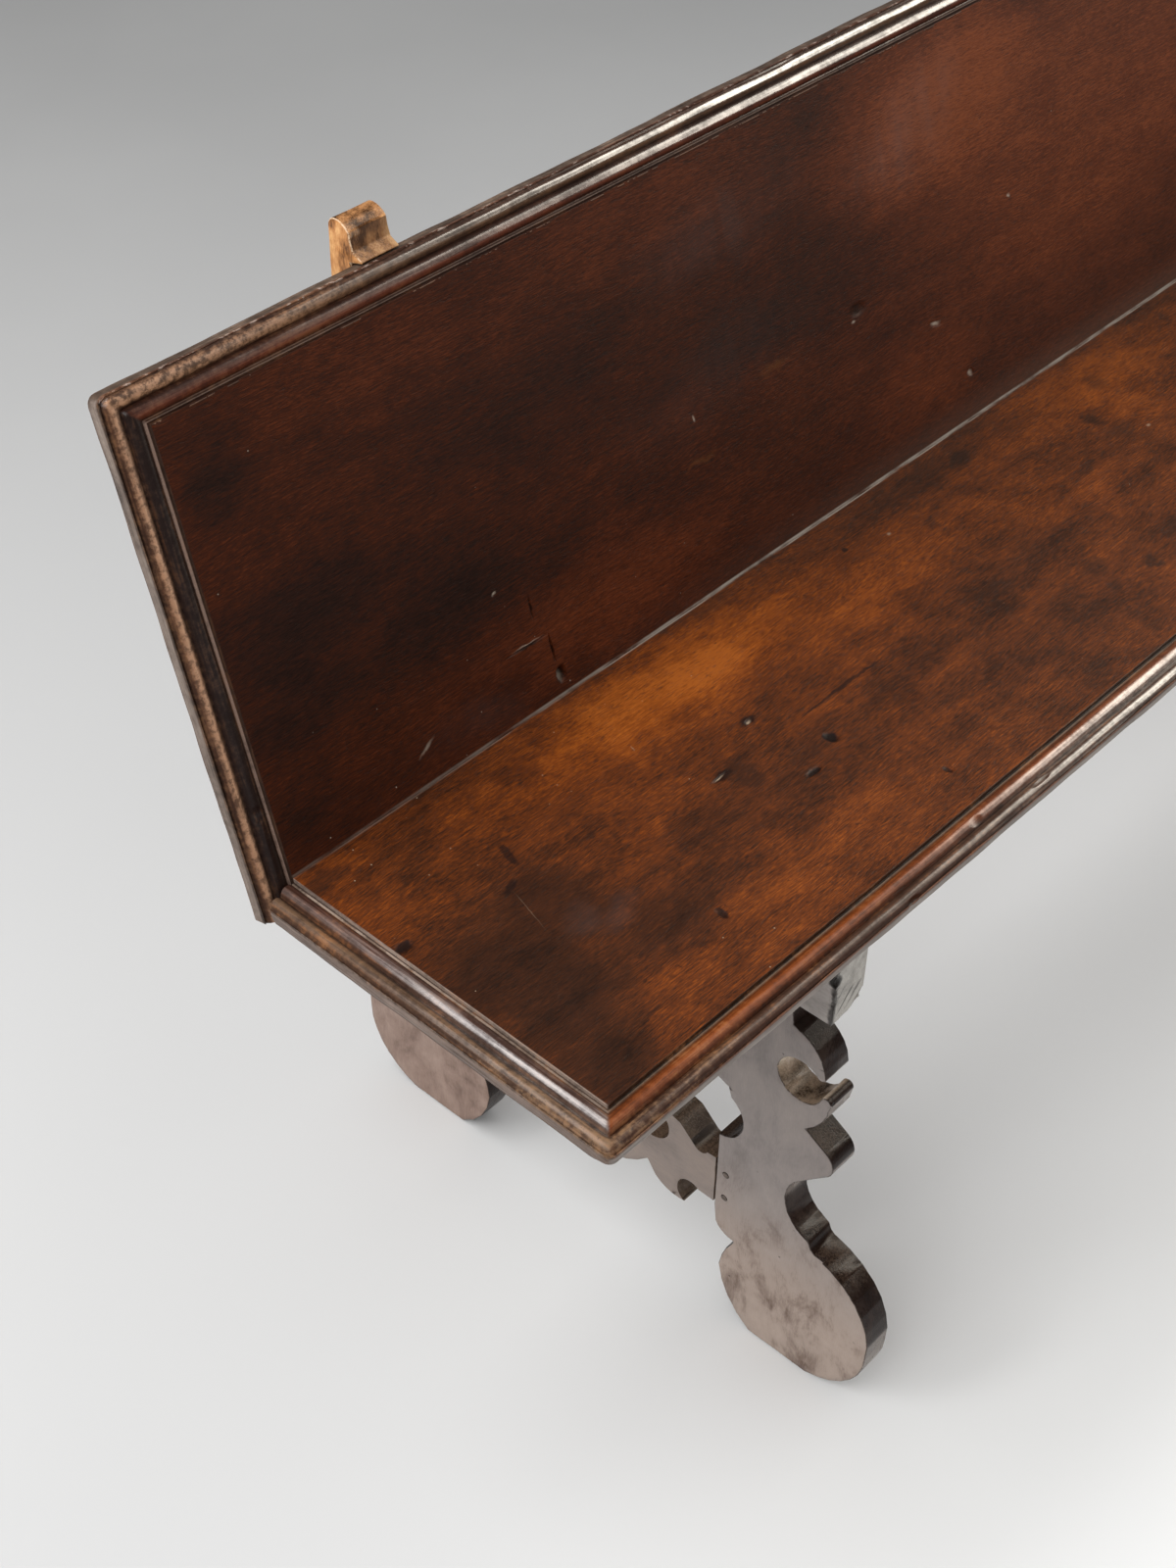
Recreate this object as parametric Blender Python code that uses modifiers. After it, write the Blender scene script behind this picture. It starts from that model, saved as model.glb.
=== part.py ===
"""Walnut bench with a leaning back on two scroll-cut trestles.

The frame has X along the bench, Y to the back and Z up. The origin is on the floor, midway
between the two ends and midway between the front and rear legs.
"""

from math import atan2, ceil, cos, pi, radians, sin, tan

import bmesh
import bpy
from mathutils import Vector

# Overall sizes
BENCH_LENGTH = 1.700
SEAT_HEIGHT = 0.480
SEAT_DEPTH = 0.308
SEAT_FRONT = 0.2155
SEAT_THICKNESS = 0.022
BACK_HEIGHT = 0.351
BACK_THICKNESS = 0.022
BACK_BELOW_SEAT = 0.026
BACK_LEAN = radians(15.7)
CLEARANCE = 0.0003

# Moulded edge, from the raised field outwards
ARRIS = 0.0005
QUIRK_DEPTH = 0.0034
FILLET_WIDTH = 0.0024
TORUS_WIDTH = 0.0110
TORUS_DROP = 0.0034
TORUS_BULGE = 0.0035
BEAD_WIDTH = 0.0100
BEAD_DROP = 0.0028
BEAD_BULGE = 0.0034
LIP_WIDTH = 0.0016
LIP_RISE = 0.0010
UNDER_ROUND = 0.0015
FIELD_CORNER = 0.0006
EDGE_CORNER = 0.0070
CORNER_STEPS = 5
FRONT_BEVEL_WIDTH = 0.0110
FRONT_BEVEL_HEIGHT = 0.0050

# Trestles, which stand a little out of square, their rear feet further apart than their front feet
TRESTLE_INSET = 0.2435
TRESTLE_SKEW = radians(0.8)
LEG_THICKNESS = 0.027
STRETCHER_LENGTH = 0.232
BATTEN_WIDTH = 0.035
BATTEN_HEIGHT = 0.061
BATTEN_SETBACK = 0.009
BATTEN_TAIL = 0.058
EDGE_WEAR = 0.0010
WORN_ANGLE = radians(80)
SHARP_ANGLE = radians(25)

# Posts behind the back board, splayed outwards, with a scrolled top above it
POST_WIDTH = 0.034
POST_DEPTH = 0.028
POST_SPLAY = radians(2.1)
FINIAL_HEIGHT = 0.0308
FINIAL_LIP = 0.0114
TOE_HEIGHT = 0.0026
INSTEP_HEIGHT = 0.0080
NECK_REACH = 0.0056
NECK_HOLLOW = 0.0006
NOSE_REACH = 0.0066
NOSE_HEIGHT = 0.0214
CROWN_SETBACK = 0.0050
CROWN_BULGE = 0.0022
SHOULDER_SETBACK = 0.0122
SHOULDER_HEIGHT = 0.0268
SHOULDER_BULGE = 0.0012
NAPE_DROP = 0.020

# Tenons
TENON_THICKNESS = 0.010
TENON_ROOT = 0.006
LEG_TENON_WIDTH = 0.040
LEG_TENON_LENGTH = 0.020
STRETCHER_TENON_HEIGHT = 0.042
STRETCHER_TENON_LENGTH = 0.030
POST_TENON_WIDTH = 0.016
POST_TENON_LENGTH = 0.020

# Pegs through each of the stretcher's tenons, one above the other
PEG_DIAMETER = 0.0050
PEG_SPACING = 0.0270
PEG_SETBACK = 0.0095
PEG_SIDES = 16

# The trestle pattern is drawn on a grid. Its divisions count across from the legs' joint edge
# or the stretcher's middle, and up from the floor to the top of the legs.
PATTERN_GRID = 0.001
PATTERN_TOP = 397
PATTERN_HALF_STRETCHER = 116
LEG_TOP_REAR = -24
LEG_TOP_FRONT = 55
STRETCHER_END_LOW = 128
STRETCHER_END_HIGH = 180
ARC_STEP = radians(13)

# Scroll eye at the front of a leg, and the eyes pierced in the stretcher, in divisions
LEG_EYE = (67.2, 321)
LEG_EYE_RADIUS = 19.3
LEG_EYE_MOUTH = (radians(41), radians(-14))
STRETCHER_EYE = (51, 173)
STRETCHER_EYE_RADIUS = 18

# Sizes that follow from those above
MOULDING_WIDTH = FILLET_WIDTH + TORUS_WIDTH + BEAD_WIDTH + LIP_WIDTH
SEAT_BACK_Y = SEAT_DEPTH - SEAT_FRONT
BATTEN_TOP = SEAT_HEIGHT - SEAT_THICKNESS - CLEARANCE
LEG_HEIGHT = BATTEN_TOP - BATTEN_HEIGHT - CLEARANCE
PATTERN_RISE = LEG_HEIGHT / PATTERN_TOP
STRETCHER_END_MIDDLE = (STRETCHER_END_LOW + STRETCHER_END_HIGH) / 2 * PATTERN_RISE
POST_FRONT = BACK_THICKNESS + CLEARANCE
POST_REAR = POST_FRONT + POST_DEPTH
TRESTLE_X = BENCH_LENGTH / 2 - TRESTLE_INSET


def clear_scene():
    for item in list(bpy.data.objects):
        bpy.data.objects.remove(item, do_unlink=True)


def new_collection(name):
    collection = bpy.data.collections.new(name)
    bpy.context.scene.collection.children.link(collection)
    return collection


def wood(name, colour, roughness):
    material = bpy.data.materials.new(name)
    material.use_nodes = True
    shader = material.node_tree.nodes["Principled BSDF"]
    shader.inputs["Base Color"].default_value = (*colour, 1.0)
    shader.inputs["Roughness"].default_value = roughness
    shader.inputs["Metallic"].default_value = 0.0
    return material


def empty(name, parent, location=(0, 0, 0), rotation=(0, 0, 0)):
    frame = bpy.data.objects.new(name, None)
    parts.objects.link(frame)
    frame.parent = parent
    frame.location = location
    frame.rotation_euler = rotation
    return frame


def mesh_object(name, mesh, collection, parent):
    item = bpy.data.objects.new(name, mesh)
    collection.objects.link(item)
    item.parent = parent
    return item


# Outlines

def arc(start, via, end):
    """Points after start, up to end, on the circle through the three points."""
    start, via, end = Vector(start), Vector(via), Vector(end)
    a, b = via - start, end - start
    double_area = 2 * a.cross(b)
    to_centre = Vector((b.y * a.length_squared - a.y * b.length_squared,
                        a.x * b.length_squared - b.x * a.length_squared)) / double_area
    centre = start + to_centre
    first, middle, last = (atan2(*(p - centre).yx) for p in (start, via, end))
    turn = (last - first) % (2 * pi)
    if (middle - first) % (2 * pi) > turn:
        turn -= 2 * pi
    steps = max(2, ceil(abs(turn) / ARC_STEP))
    angles = (first + turn * i / steps for i in range(1, steps + 1))
    return [centre + to_centre.length * Vector((cos(t), sin(t))) for t in angles]


def trace(start, moves):
    """A flat outline. A move is a point to go straight to, or a via point and an end point."""
    points = [Vector(start)]
    for move in moves:
        if len(move) == 2 and isinstance(move[0], tuple):
            points += arc(points[-1], *move)
        else:
            points.append(Vector(move))
    return points


def on_circle(centre, radius, angle):
    return (centre[0] + radius * cos(angle), centre[1] + radius * sin(angle))


def bulged(start, end, bulge):
    """Points after start on the arc to end that rises by bulge over the chord between them."""
    start, end = Vector(start), Vector(end)
    side = (end - start).normalized().yx * Vector((1, -1))
    return arc(start, (start + end) / 2 + side * bulge, end)


def leg_outline():
    """A leg seen from its outer side: across from the joint edge forwards, and up from the floor."""
    upper, lower = (on_circle(LEG_EYE, LEG_EYE_RADIUS, angle) for angle in LEG_EYE_MOUTH)
    eye_back = on_circle(LEG_EYE, LEG_EYE_RADIUS, pi)
    pattern = trace((LEG_TOP_REAR, PATTERN_TOP), [
        (LEG_TOP_FRONT, PATTERN_TOP),
        (57.5, 371),
        ((77.5, 361.5), (88.5, 339)),
        ((87.6, 334.6), upper),
        (eye_back, lower),
        ((91.5, 319.3), (95, 312)),
        ((90.5, 295), (76.5, 276)),
        (96, 264),
        ((103, 253), (97, 238.5)),
        (77, 217),
        ((65, 190), (78, 162.5)),
        (89.5, 156),
        (92, 150),
        (95.5, 147),
        ((132, 127), (151, 68)),
        ((138, 26), (99, 0)),
        (42, 0),
        ((19, 24), (8, 57)),
        ((11.5, 75), (20.5, 95)),
        ((10, 98), (2, 107)),
        (0, 124),
        (0, 209),
        ((20.5, 229), (8.5, 256.5)),
        (5.5, 266),
        (-3, 269),
        ((-20, 284), (LEG_TOP_REAR, 308)),
        ((-14, 336), (LEG_TOP_REAR, 364)),
    ])
    return [Vector((p.x * PATTERN_GRID, p.y * PATTERN_RISE)) for p in pattern]


def stretcher_outlines():
    """The stretcher's edge and its two pierced eyes, across from its middle and up from the floor."""
    half = trace((0, 236), [
        ((15, 221), (36, 217)),
        ((61, 211), (72, 193.5)),
        (80, 191.5),
        (95, 177),
        ((101, 174.5), (106.5, 179.5)),
        (PATTERN_HALF_STRETCHER, STRETCHER_END_HIGH),
        (PATTERN_HALF_STRETCHER, STRETCHER_END_LOW),
        (101, STRETCHER_END_LOW),
        ((90, 130.5), (80.5, 118.5)),
        ((81.5, 110), (88, 103)),
        ((73, 102.5), (57.5, 110.5)),
        (49, 123.5),
        ((27, 104), (0, 94)),
    ])
    edge = half + [Vector((-p.x, p.y)) for p in reversed(half[1:-1])]
    steps = ceil(2 * pi / ARC_STEP)
    angles = [2 * pi * i / steps for i in range(steps)]
    eye = [Vector(on_circle(STRETCHER_EYE, STRETCHER_EYE_RADIUS, angle)) for angle in angles]
    mirrored_eye = [Vector((-p.x, p.y)) for p in eye]
    across = (STRETCHER_LENGTH / 2 - CLEARANCE) / PATTERN_HALF_STRETCHER
    return [[Vector((p.x * across, p.y * PATTERN_RISE)) for p in line]
            for line in (edge, eye, mirrored_eye)]


def post_outline():
    """A post seen from its side: back from the back board's field, and up the board from the seat."""
    shoulder = (BACK_THICKNESS + SHOULDER_SETBACK, BACK_HEIGHT + SHOULDER_HEIGHT)
    crown = (BACK_THICKNESS + CROWN_SETBACK, BACK_HEIGHT + FINIAL_HEIGHT)
    nose = (BACK_THICKNESS - NOSE_REACH, BACK_HEIGHT + NOSE_HEIGHT)
    instep = (BACK_THICKNESS - NECK_REACH, BACK_HEIGHT + INSTEP_HEIGHT)
    toe_x = BACK_THICKNESS - FINIAL_LIP
    sole = BACK_HEIGHT + CLEARANCE
    outline = [
        post_foot(POST_REAR),
        (POST_REAR, BACK_HEIGHT - NAPE_DROP),
        shoulder,
        *bulged(shoulder, crown, SHOULDER_BULGE),
        *bulged(crown, nose, CROWN_BULGE),
        *bulged(nose, instep, -NECK_HOLLOW),
        (toe_x, BACK_HEIGHT + TOE_HEIGHT),
        (toe_x, sole),
        (POST_FRONT, sole),
        post_foot(POST_FRONT),
    ]
    return [Vector(point) for point in outline]


def post_foot(depth):
    """The point where a line down the post at this depth meets the batten's top."""
    rise = BATTEN_TOP + CLEARANCE - SEAT_HEIGHT + depth * sin(BACK_LEAN)
    return (depth, rise / cos(BACK_LEAN))


def moulding_profile():
    """(outwards, down) from the field's arris to the top of the plain edge below the mouldings."""
    quirk = Vector((FILLET_WIDTH, QUIRK_DEPTH))
    groove = quirk + Vector((TORUS_WIDTH, TORUS_DROP))
    bead_end = groove + Vector((BEAD_WIDTH, BEAD_DROP))
    lip = bead_end - Vector((0, LIP_RISE))
    edge = lip + Vector((LIP_WIDTH, 0))
    return [
        Vector((-ARRIS, 0)),
        Vector((0, ARRIS)),
        Vector((0, QUIRK_DEPTH)),
        quirk,
        *bulged(quirk, groove, TORUS_BULGE),
        *bulged(groove, bead_end, BEAD_BULGE),
        lip,
        edge,
    ]


# Solids

def moulded_board(name, parent, edge_y, thickness, plain_y, bevel_width, bevel_height):
    """A board in its local XY plane, its field at z = 0, moulded along +Y and at both ends.

    plain_y(down) places the plain edge at a depth below the field. The bevel is under the +Y edge.
    """
    levels = [(out, out, down) for out, down in moulding_profile()]
    levels.append((MOULDING_WIDTH, MOULDING_WIDTH, thickness - bevel_height))
    levels.append((MOULDING_WIDTH - UNDER_ROUND, MOULDING_WIDTH - bevel_width, thickness))
    shell = bmesh.new()
    rings = []
    for end_out, front_out, down in levels:
        end_x = BENCH_LENGTH / 2 - MOULDING_WIDTH + end_out
        front_y = edge_y - MOULDING_WIDTH + front_out
        radius = FIELD_CORNER + (EDGE_CORNER - FIELD_CORNER) * max(end_out, 0) / MOULDING_WIDTH
        corner = [on_circle((end_x - radius, front_y - radius), radius, pi / 2 * i / CORNER_STEPS)
                  for i in range(CORNER_STEPS + 1)]
        half = [(end_x, plain_y(down)), *corner]
        ring = half + [(-x, y) for x, y in reversed(half)]
        rings.append([shell.verts.new((x, y, -down)) for x, y in ring])
    for upper, lower in zip(rings, rings[1:]):
        for i in range(1, len(upper)):
            shell.faces.new((upper[i - 1], upper[i], lower[i], lower[i - 1]))
    shell.faces.new(rings[0])
    shell.faces.new(rings[-1])
    shell.faces.new([ring[0] for ring in rings] + [ring[-1] for ring in reversed(rings)])
    bmesh.ops.recalc_face_normals(shell, faces=shell.faces)
    mesh = bpy.data.meshes.new(name)
    shell.to_mesh(mesh)
    shell.free()
    return mesh_object(name, mesh, parts, parent)


def sawn_piece(name, parent, outlines, thickness, location=(0, 0, 0), turn=0.0, splay=0.0):
    """A flat outline cut from a board: its first axis runs along Y and its second along Z.

    splay slants the piece along X as it rises.
    """
    curve = bpy.data.curves.new(name, "CURVE")
    curve.dimensions = "2D"
    curve.fill_mode = "BOTH"
    curve.extrude = thickness / 2
    for points in outlines:
        spline = curve.splines.new("POLY")
        spline.points.add(len(points) - 1)
        spline.use_cyclic_u = True
        for control, point in zip(spline.points, points):
            control.co = (point.x, point.y, 0, 1)
    drawing = mesh_object(name + "_drawing", curve, cutters, parent)
    drawing.location = location
    drawing.rotation_euler = (pi / 2, 0, pi / 2 + turn)
    bpy.context.view_layer.update()
    evaluated = drawing.evaluated_get(bpy.context.evaluated_depsgraph_get())
    mesh = bpy.data.meshes.new_from_object(evaluated)
    merged = bmesh.new()
    merged.from_mesh(mesh)
    bmesh.ops.remove_doubles(merged, verts=merged.verts, dist=CLEARANCE / 10)
    bmesh.ops.dissolve_limit(merged, angle_limit=ARC_STEP / 100, verts=merged.verts, edges=merged.edges)
    bmesh.ops.recalc_face_normals(merged, faces=merged.faces)
    for vert in merged.verts:
        vert.co.z += vert.co.y * tan(splay)
    merged.to_mesh(mesh)
    merged.free()
    piece = mesh_object(name, mesh, parts, parent)
    piece.matrix_world = drawing.matrix_world
    bpy.data.objects.remove(drawing, do_unlink=True)
    bpy.data.curves.remove(curve)
    wear = piece.modifiers.new("worn edges", "BEVEL")
    wear.width = EDGE_WEAR
    wear.segments = 1
    wear.limit_method = "ANGLE"
    wear.angle_limit = WORN_ANGLE
    return piece


def block(name, parent, collection, low, high):
    """A box between two corners of its parent's frame."""
    low, high = Vector(low), Vector(high)
    cube = bmesh.new()
    bmesh.ops.create_cube(cube, size=1.0)
    bmesh.ops.scale(cube, vec=high - low, verts=cube.verts)
    mesh = bpy.data.meshes.new(name)
    cube.to_mesh(mesh)
    cube.free()
    item = mesh_object(name, mesh, collection, parent)
    item.location = (low + high) / 2
    return item


def rod(name, parent, collection, middle, diameter, length):
    """A round bar along X."""
    bar = bmesh.new()
    bmesh.ops.create_cone(bar, cap_ends=True, segments=PEG_SIDES, depth=length,
                          radius1=diameter / 2, radius2=diameter / 2)
    mesh = bpy.data.meshes.new(name)
    bar.to_mesh(mesh)
    bar.free()
    item = mesh_object(name, mesh, collection, parent)
    item.location = middle
    item.rotation_euler = (0, pi / 2, 0)
    return item


def as_tool(item):
    item.hide_render = True
    item.display_type = "WIRE"
    return item


def tool(name, parent, low, high):
    return as_tool(block(name, parent, cutters, low, high))


def boolean(piece, other, operation):
    change = piece.modifiers.new(other.name, "BOOLEAN")
    change.operation = operation
    change.solver = "EXACT"
    change.object = other


def tenon_joint(name, parent, tenoned, mortised, low, high):
    """A tenon between two corners, joined to one piece and let into the other with a clearance."""
    fit = Vector((CLEARANCE, CLEARANCE, CLEARANCE))
    boolean(tenoned, tool(name + "_tenon", parent, low, high), "UNION")
    boolean(mortised, tool(name + "_mortise", parent, Vector(low) - fit, Vector(high) + fit), "DIFFERENCE")


def finish(piece, colour, roughness):
    piece.data.materials.clear()
    piece.data.materials.append(wood(piece.name, colour, roughness))
    piece.data.shade_smooth()
    piece.data.set_sharp_from_angle(angle=SHARP_ANGLE)


# Pieces

def make_seat(parent):
    def bevelled_rear(down):
        return CLEARANCE / cos(BACK_LEAN) + down * tan(BACK_LEAN)

    seat = moulded_board("seat_board", parent, SEAT_DEPTH, SEAT_THICKNESS, bevelled_rear,
                         FRONT_BEVEL_WIDTH, FRONT_BEVEL_HEIGHT)
    seat.location = (0, SEAT_BACK_Y, SEAT_HEIGHT)
    seat.rotation_euler = (0, 0, pi)
    finish(seat, (0.155, 0.052, 0.017), 0.38)


def make_back(lean_frame):
    def square_foot(down):
        return -BACK_BELOW_SEAT

    back = moulded_board("back_board", lean_frame, BACK_HEIGHT, BACK_THICKNESS, square_foot,
                         UNDER_ROUND, UNDER_ROUND)
    back.rotation_euler = (pi / 2, 0, 0)
    finish(back, (0.062, 0.017, 0.008), 0.34)


def make_batten(side, trestle, post_foot_rear):
    half = BATTEN_WIDTH / 2
    batten = block(side + "_seat_batten", trestle, parts,
                   (-half, BATTEN_SETBACK - SEAT_FRONT, BATTEN_TOP - BATTEN_HEIGHT),
                   (half, post_foot_rear + BATTEN_TAIL, BATTEN_TOP))
    finish(batten, (0.105, 0.080, 0.062), 0.62)
    return batten


def make_leg(side, end, trestle, batten, turn):
    """A front leg, or with turn = -1 a rear one."""
    joint_y = -turn * STRETCHER_LENGTH / 2
    leg = sawn_piece(f"{side}_{end}_leg", trestle, [leg_outline()], LEG_THICKNESS,
                     (0, joint_y, 0), pi if turn > 0 else 0.0)
    middle_y = joint_y - turn * (LEG_TOP_REAR + LEG_TOP_FRONT) / 2 * PATTERN_GRID
    half_thickness, half_width = TENON_THICKNESS / 2, LEG_TENON_WIDTH / 2
    tenon_joint(f"{side}_{end}_leg_top", trestle, leg, batten,
                (-half_thickness, middle_y - half_width, LEG_HEIGHT - TENON_ROOT),
                (half_thickness, middle_y + half_width, LEG_HEIGHT + LEG_TENON_LENGTH))
    finish(leg, (0.078, 0.058, 0.047), 0.45)
    return leg


def make_stretcher(side, trestle, legs):
    stretcher = sawn_piece(side + "_stretcher", trestle, stretcher_outlines(), LEG_THICKNESS)
    half_thickness, half_height = TENON_THICKNESS / 2, STRETCHER_TENON_HEIGHT / 2
    for end, (leg, turn) in legs.items():
        root, tip = (STRETCHER_LENGTH / 2 - TENON_ROOT, STRETCHER_LENGTH / 2 + STRETCHER_TENON_LENGTH)
        near, far = sorted((-turn * root, -turn * tip))
        tenon_joint(f"{side}_{end}_stretcher", trestle, stretcher, leg,
                    (-half_thickness, near, STRETCHER_END_MIDDLE - half_height),
                    (half_thickness, far, STRETCHER_END_MIDDLE + half_height))
        make_pegs(side, end, trestle, leg, stretcher, turn)
    finish(stretcher, (0.082, 0.060, 0.047), 0.45)


def make_pegs(side, end, trestle, leg, stretcher, turn):
    """Two pegs through a leg and the stretcher's tenon in it, flush with the leg's faces."""
    y = -turn * (STRETCHER_LENGTH / 2 + PEG_SETBACK)
    for level, rise in (("upper", PEG_SPACING / 2), ("lower", -PEG_SPACING / 2)):
        name = f"{side}_{end}_{level}_peg"
        middle = (0, y, STRETCHER_END_MIDDLE + rise)
        peg = rod(name, trestle, parts, middle, PEG_DIAMETER, LEG_THICKNESS)
        hole = as_tool(rod(name + "_hole", trestle, cutters, middle,
                           PEG_DIAMETER + 2 * CLEARANCE, 2 * LEG_THICKNESS))
        boolean(leg, hole, "DIFFERENCE")
        boolean(stretcher, hole, "DIFFERENCE")
        finish(peg, (0.060, 0.043, 0.034), 0.55)


def make_post(side, outward, lean_frame, trestle, batten, foot_middle):
    x = outward * (TRESTLE_X + foot_middle * sin(TRESTLE_SKEW))
    post = sawn_piece(side + "_back_post", lean_frame, [post_outline()], POST_WIDTH, (x, 0, 0),
                      splay=outward * POST_SPLAY)
    half_thickness, half_width = TENON_THICKNESS / 2, POST_TENON_WIDTH / 2
    tenon_joint(side + "_post_foot", trestle, post, batten,
                (-half_thickness, foot_middle - half_width, BATTEN_TOP - POST_TENON_LENGTH),
                (half_thickness, foot_middle + half_width, BATTEN_TOP + TENON_ROOT))
    finish(post, (0.240, 0.105, 0.040), 0.50)


def make_housing(side, x, lean_frame, batten):
    """The notch in the batten's top that takes the lower edge of the back board."""
    half = BATTEN_WIDTH
    notch = tool(side + "_back_housing", lean_frame,
                 (x - half, -CLEARANCE, -BACK_BELOW_SEAT - CLEARANCE),
                 (x + half, BACK_THICKNESS + CLEARANCE, BACK_BELOW_SEAT))
    boolean(batten, notch, "DIFFERENCE")


def make_trestle(side, outward, bench, lean_frame):
    """A trestle, its post and its batten: outward is -1 on the left and 1 on the right."""
    x = outward * TRESTLE_X
    trestle = empty(side + "_trestle", bench, (x, 0, 0), (0, 0, -outward * TRESTLE_SKEW))
    foot_front, foot_rear = (SEAT_BACK_Y + depth * cos(BACK_LEAN) + rise * sin(BACK_LEAN)
                             for depth, rise in (post_foot(POST_FRONT), post_foot(POST_REAR)))
    batten = make_batten(side, trestle, foot_rear)
    legs = {
        "front": (make_leg(side, "front", trestle, batten, 1), 1),
        "rear": (make_leg(side, "rear", trestle, batten, -1), -1),
    }
    make_stretcher(side, trestle, legs)
    make_housing(side, x, lean_frame, batten)
    make_post(side, outward, lean_frame, trestle, batten, (foot_front + foot_rear) / 2)


def make_bench():
    bench = empty("bench", None)
    lean_frame = empty("back_lean", bench, (0, SEAT_BACK_Y, SEAT_HEIGHT), (-BACK_LEAN, 0, 0))
    make_seat(bench)
    make_back(lean_frame)
    make_trestle("left", -1, bench, lean_frame)
    make_trestle("right", 1, bench, lean_frame)


clear_scene()
parts = new_collection("walnut_bench")
cutters = new_collection("cutters")
make_bench()
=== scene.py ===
"""Looks of an old walnut bench: worn boards, wax and dust, a pale floor, soft lights and the camera."""

from math import cos, pi, radians, sin

import bmesh
import bpy
from mathutils import Matrix, Vector, noise


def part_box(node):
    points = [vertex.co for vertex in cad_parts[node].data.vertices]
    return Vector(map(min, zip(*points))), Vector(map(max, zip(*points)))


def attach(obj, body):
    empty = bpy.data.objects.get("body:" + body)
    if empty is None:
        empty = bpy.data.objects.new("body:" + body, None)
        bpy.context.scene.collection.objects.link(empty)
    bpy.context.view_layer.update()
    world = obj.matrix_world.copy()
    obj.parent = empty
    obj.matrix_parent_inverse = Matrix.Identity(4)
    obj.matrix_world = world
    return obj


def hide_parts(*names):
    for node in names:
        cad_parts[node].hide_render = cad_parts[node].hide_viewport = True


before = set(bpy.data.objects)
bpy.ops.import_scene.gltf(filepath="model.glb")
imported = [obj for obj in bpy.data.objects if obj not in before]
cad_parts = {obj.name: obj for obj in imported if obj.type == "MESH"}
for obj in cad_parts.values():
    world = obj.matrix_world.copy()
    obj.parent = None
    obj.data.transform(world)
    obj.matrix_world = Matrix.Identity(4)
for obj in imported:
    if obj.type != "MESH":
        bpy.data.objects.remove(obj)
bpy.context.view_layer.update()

# Camera, solved from the photograph's straight edges
CAMERA_PLACE = (-1.4961, -0.7897, 1.5485)
CAMERA_AZIMUTH = radians(47.37)
CAMERA_PITCH = radians(42.00)
CAMERA_ROLL = radians(0.52)
PHOTO_FOCAL_PIXELS = 2360
PHOTO_HEIGHT_PIXELS = 1600
SENSOR_HEIGHT = 36.0

# Frame of the boards
MM = 0.001
AXES = X_AXIS, Y_AXIS, Z_AXIS = Vector((1, 0, 0)), Vector((0, 1, 0)), Vector((0, 0, 1))
BACK_LEAN = radians(15.7)
BACK_RISE = Vector((0, sin(BACK_LEAN), cos(BACK_LEAN)))
BACK_FACING = Vector((0, -cos(BACK_LEAN), sin(BACK_LEAN)))
SEAT_LOW, SEAT_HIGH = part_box("seat_board")
SEAT_TOP = SEAT_HIGH.z
BOARD_THICKNESS = SEAT_HIGH.z - SEAT_LOW.z
MOULDING_WIDTH = 0.025
FIELD_END = SEAT_HIGH.x - MOULDING_WIDTH
FIELD_FRONT = SEAT_LOW.y + MOULDING_WIDTH
JUNCTION_Y = 0.0925
BACK_HEIGHT = 0.351
FACE_FALL = 0.0115

# Meshes
WELD = 1e-6
FAR = 1000.0
FLAT = radians(0.05)
SMOOTH_ANGLE = radians(32)
BOARD_GRID = 0.010
SKIN = 0.004
FACE_REACH = 0.006
REFINED_REACH = 1.2
REFINED_STEPS = 6

# Depths of wear, and how far out from the field it starts and grows
BOARD_WAVES = 0.0005
MOULDING_WEAR = 0.0007
LIP_WEAR = 0.0012
MOULDING_RAMP = 0.004
LIP_START, LIP_RAMP = 0.018, 0.005
TRESTLE_WAVES = 0.0004
TRESTLE_RIPPLES = 0.0005
BATTEN_EDGE_WEAR = 0.0012


# Node trees

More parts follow.
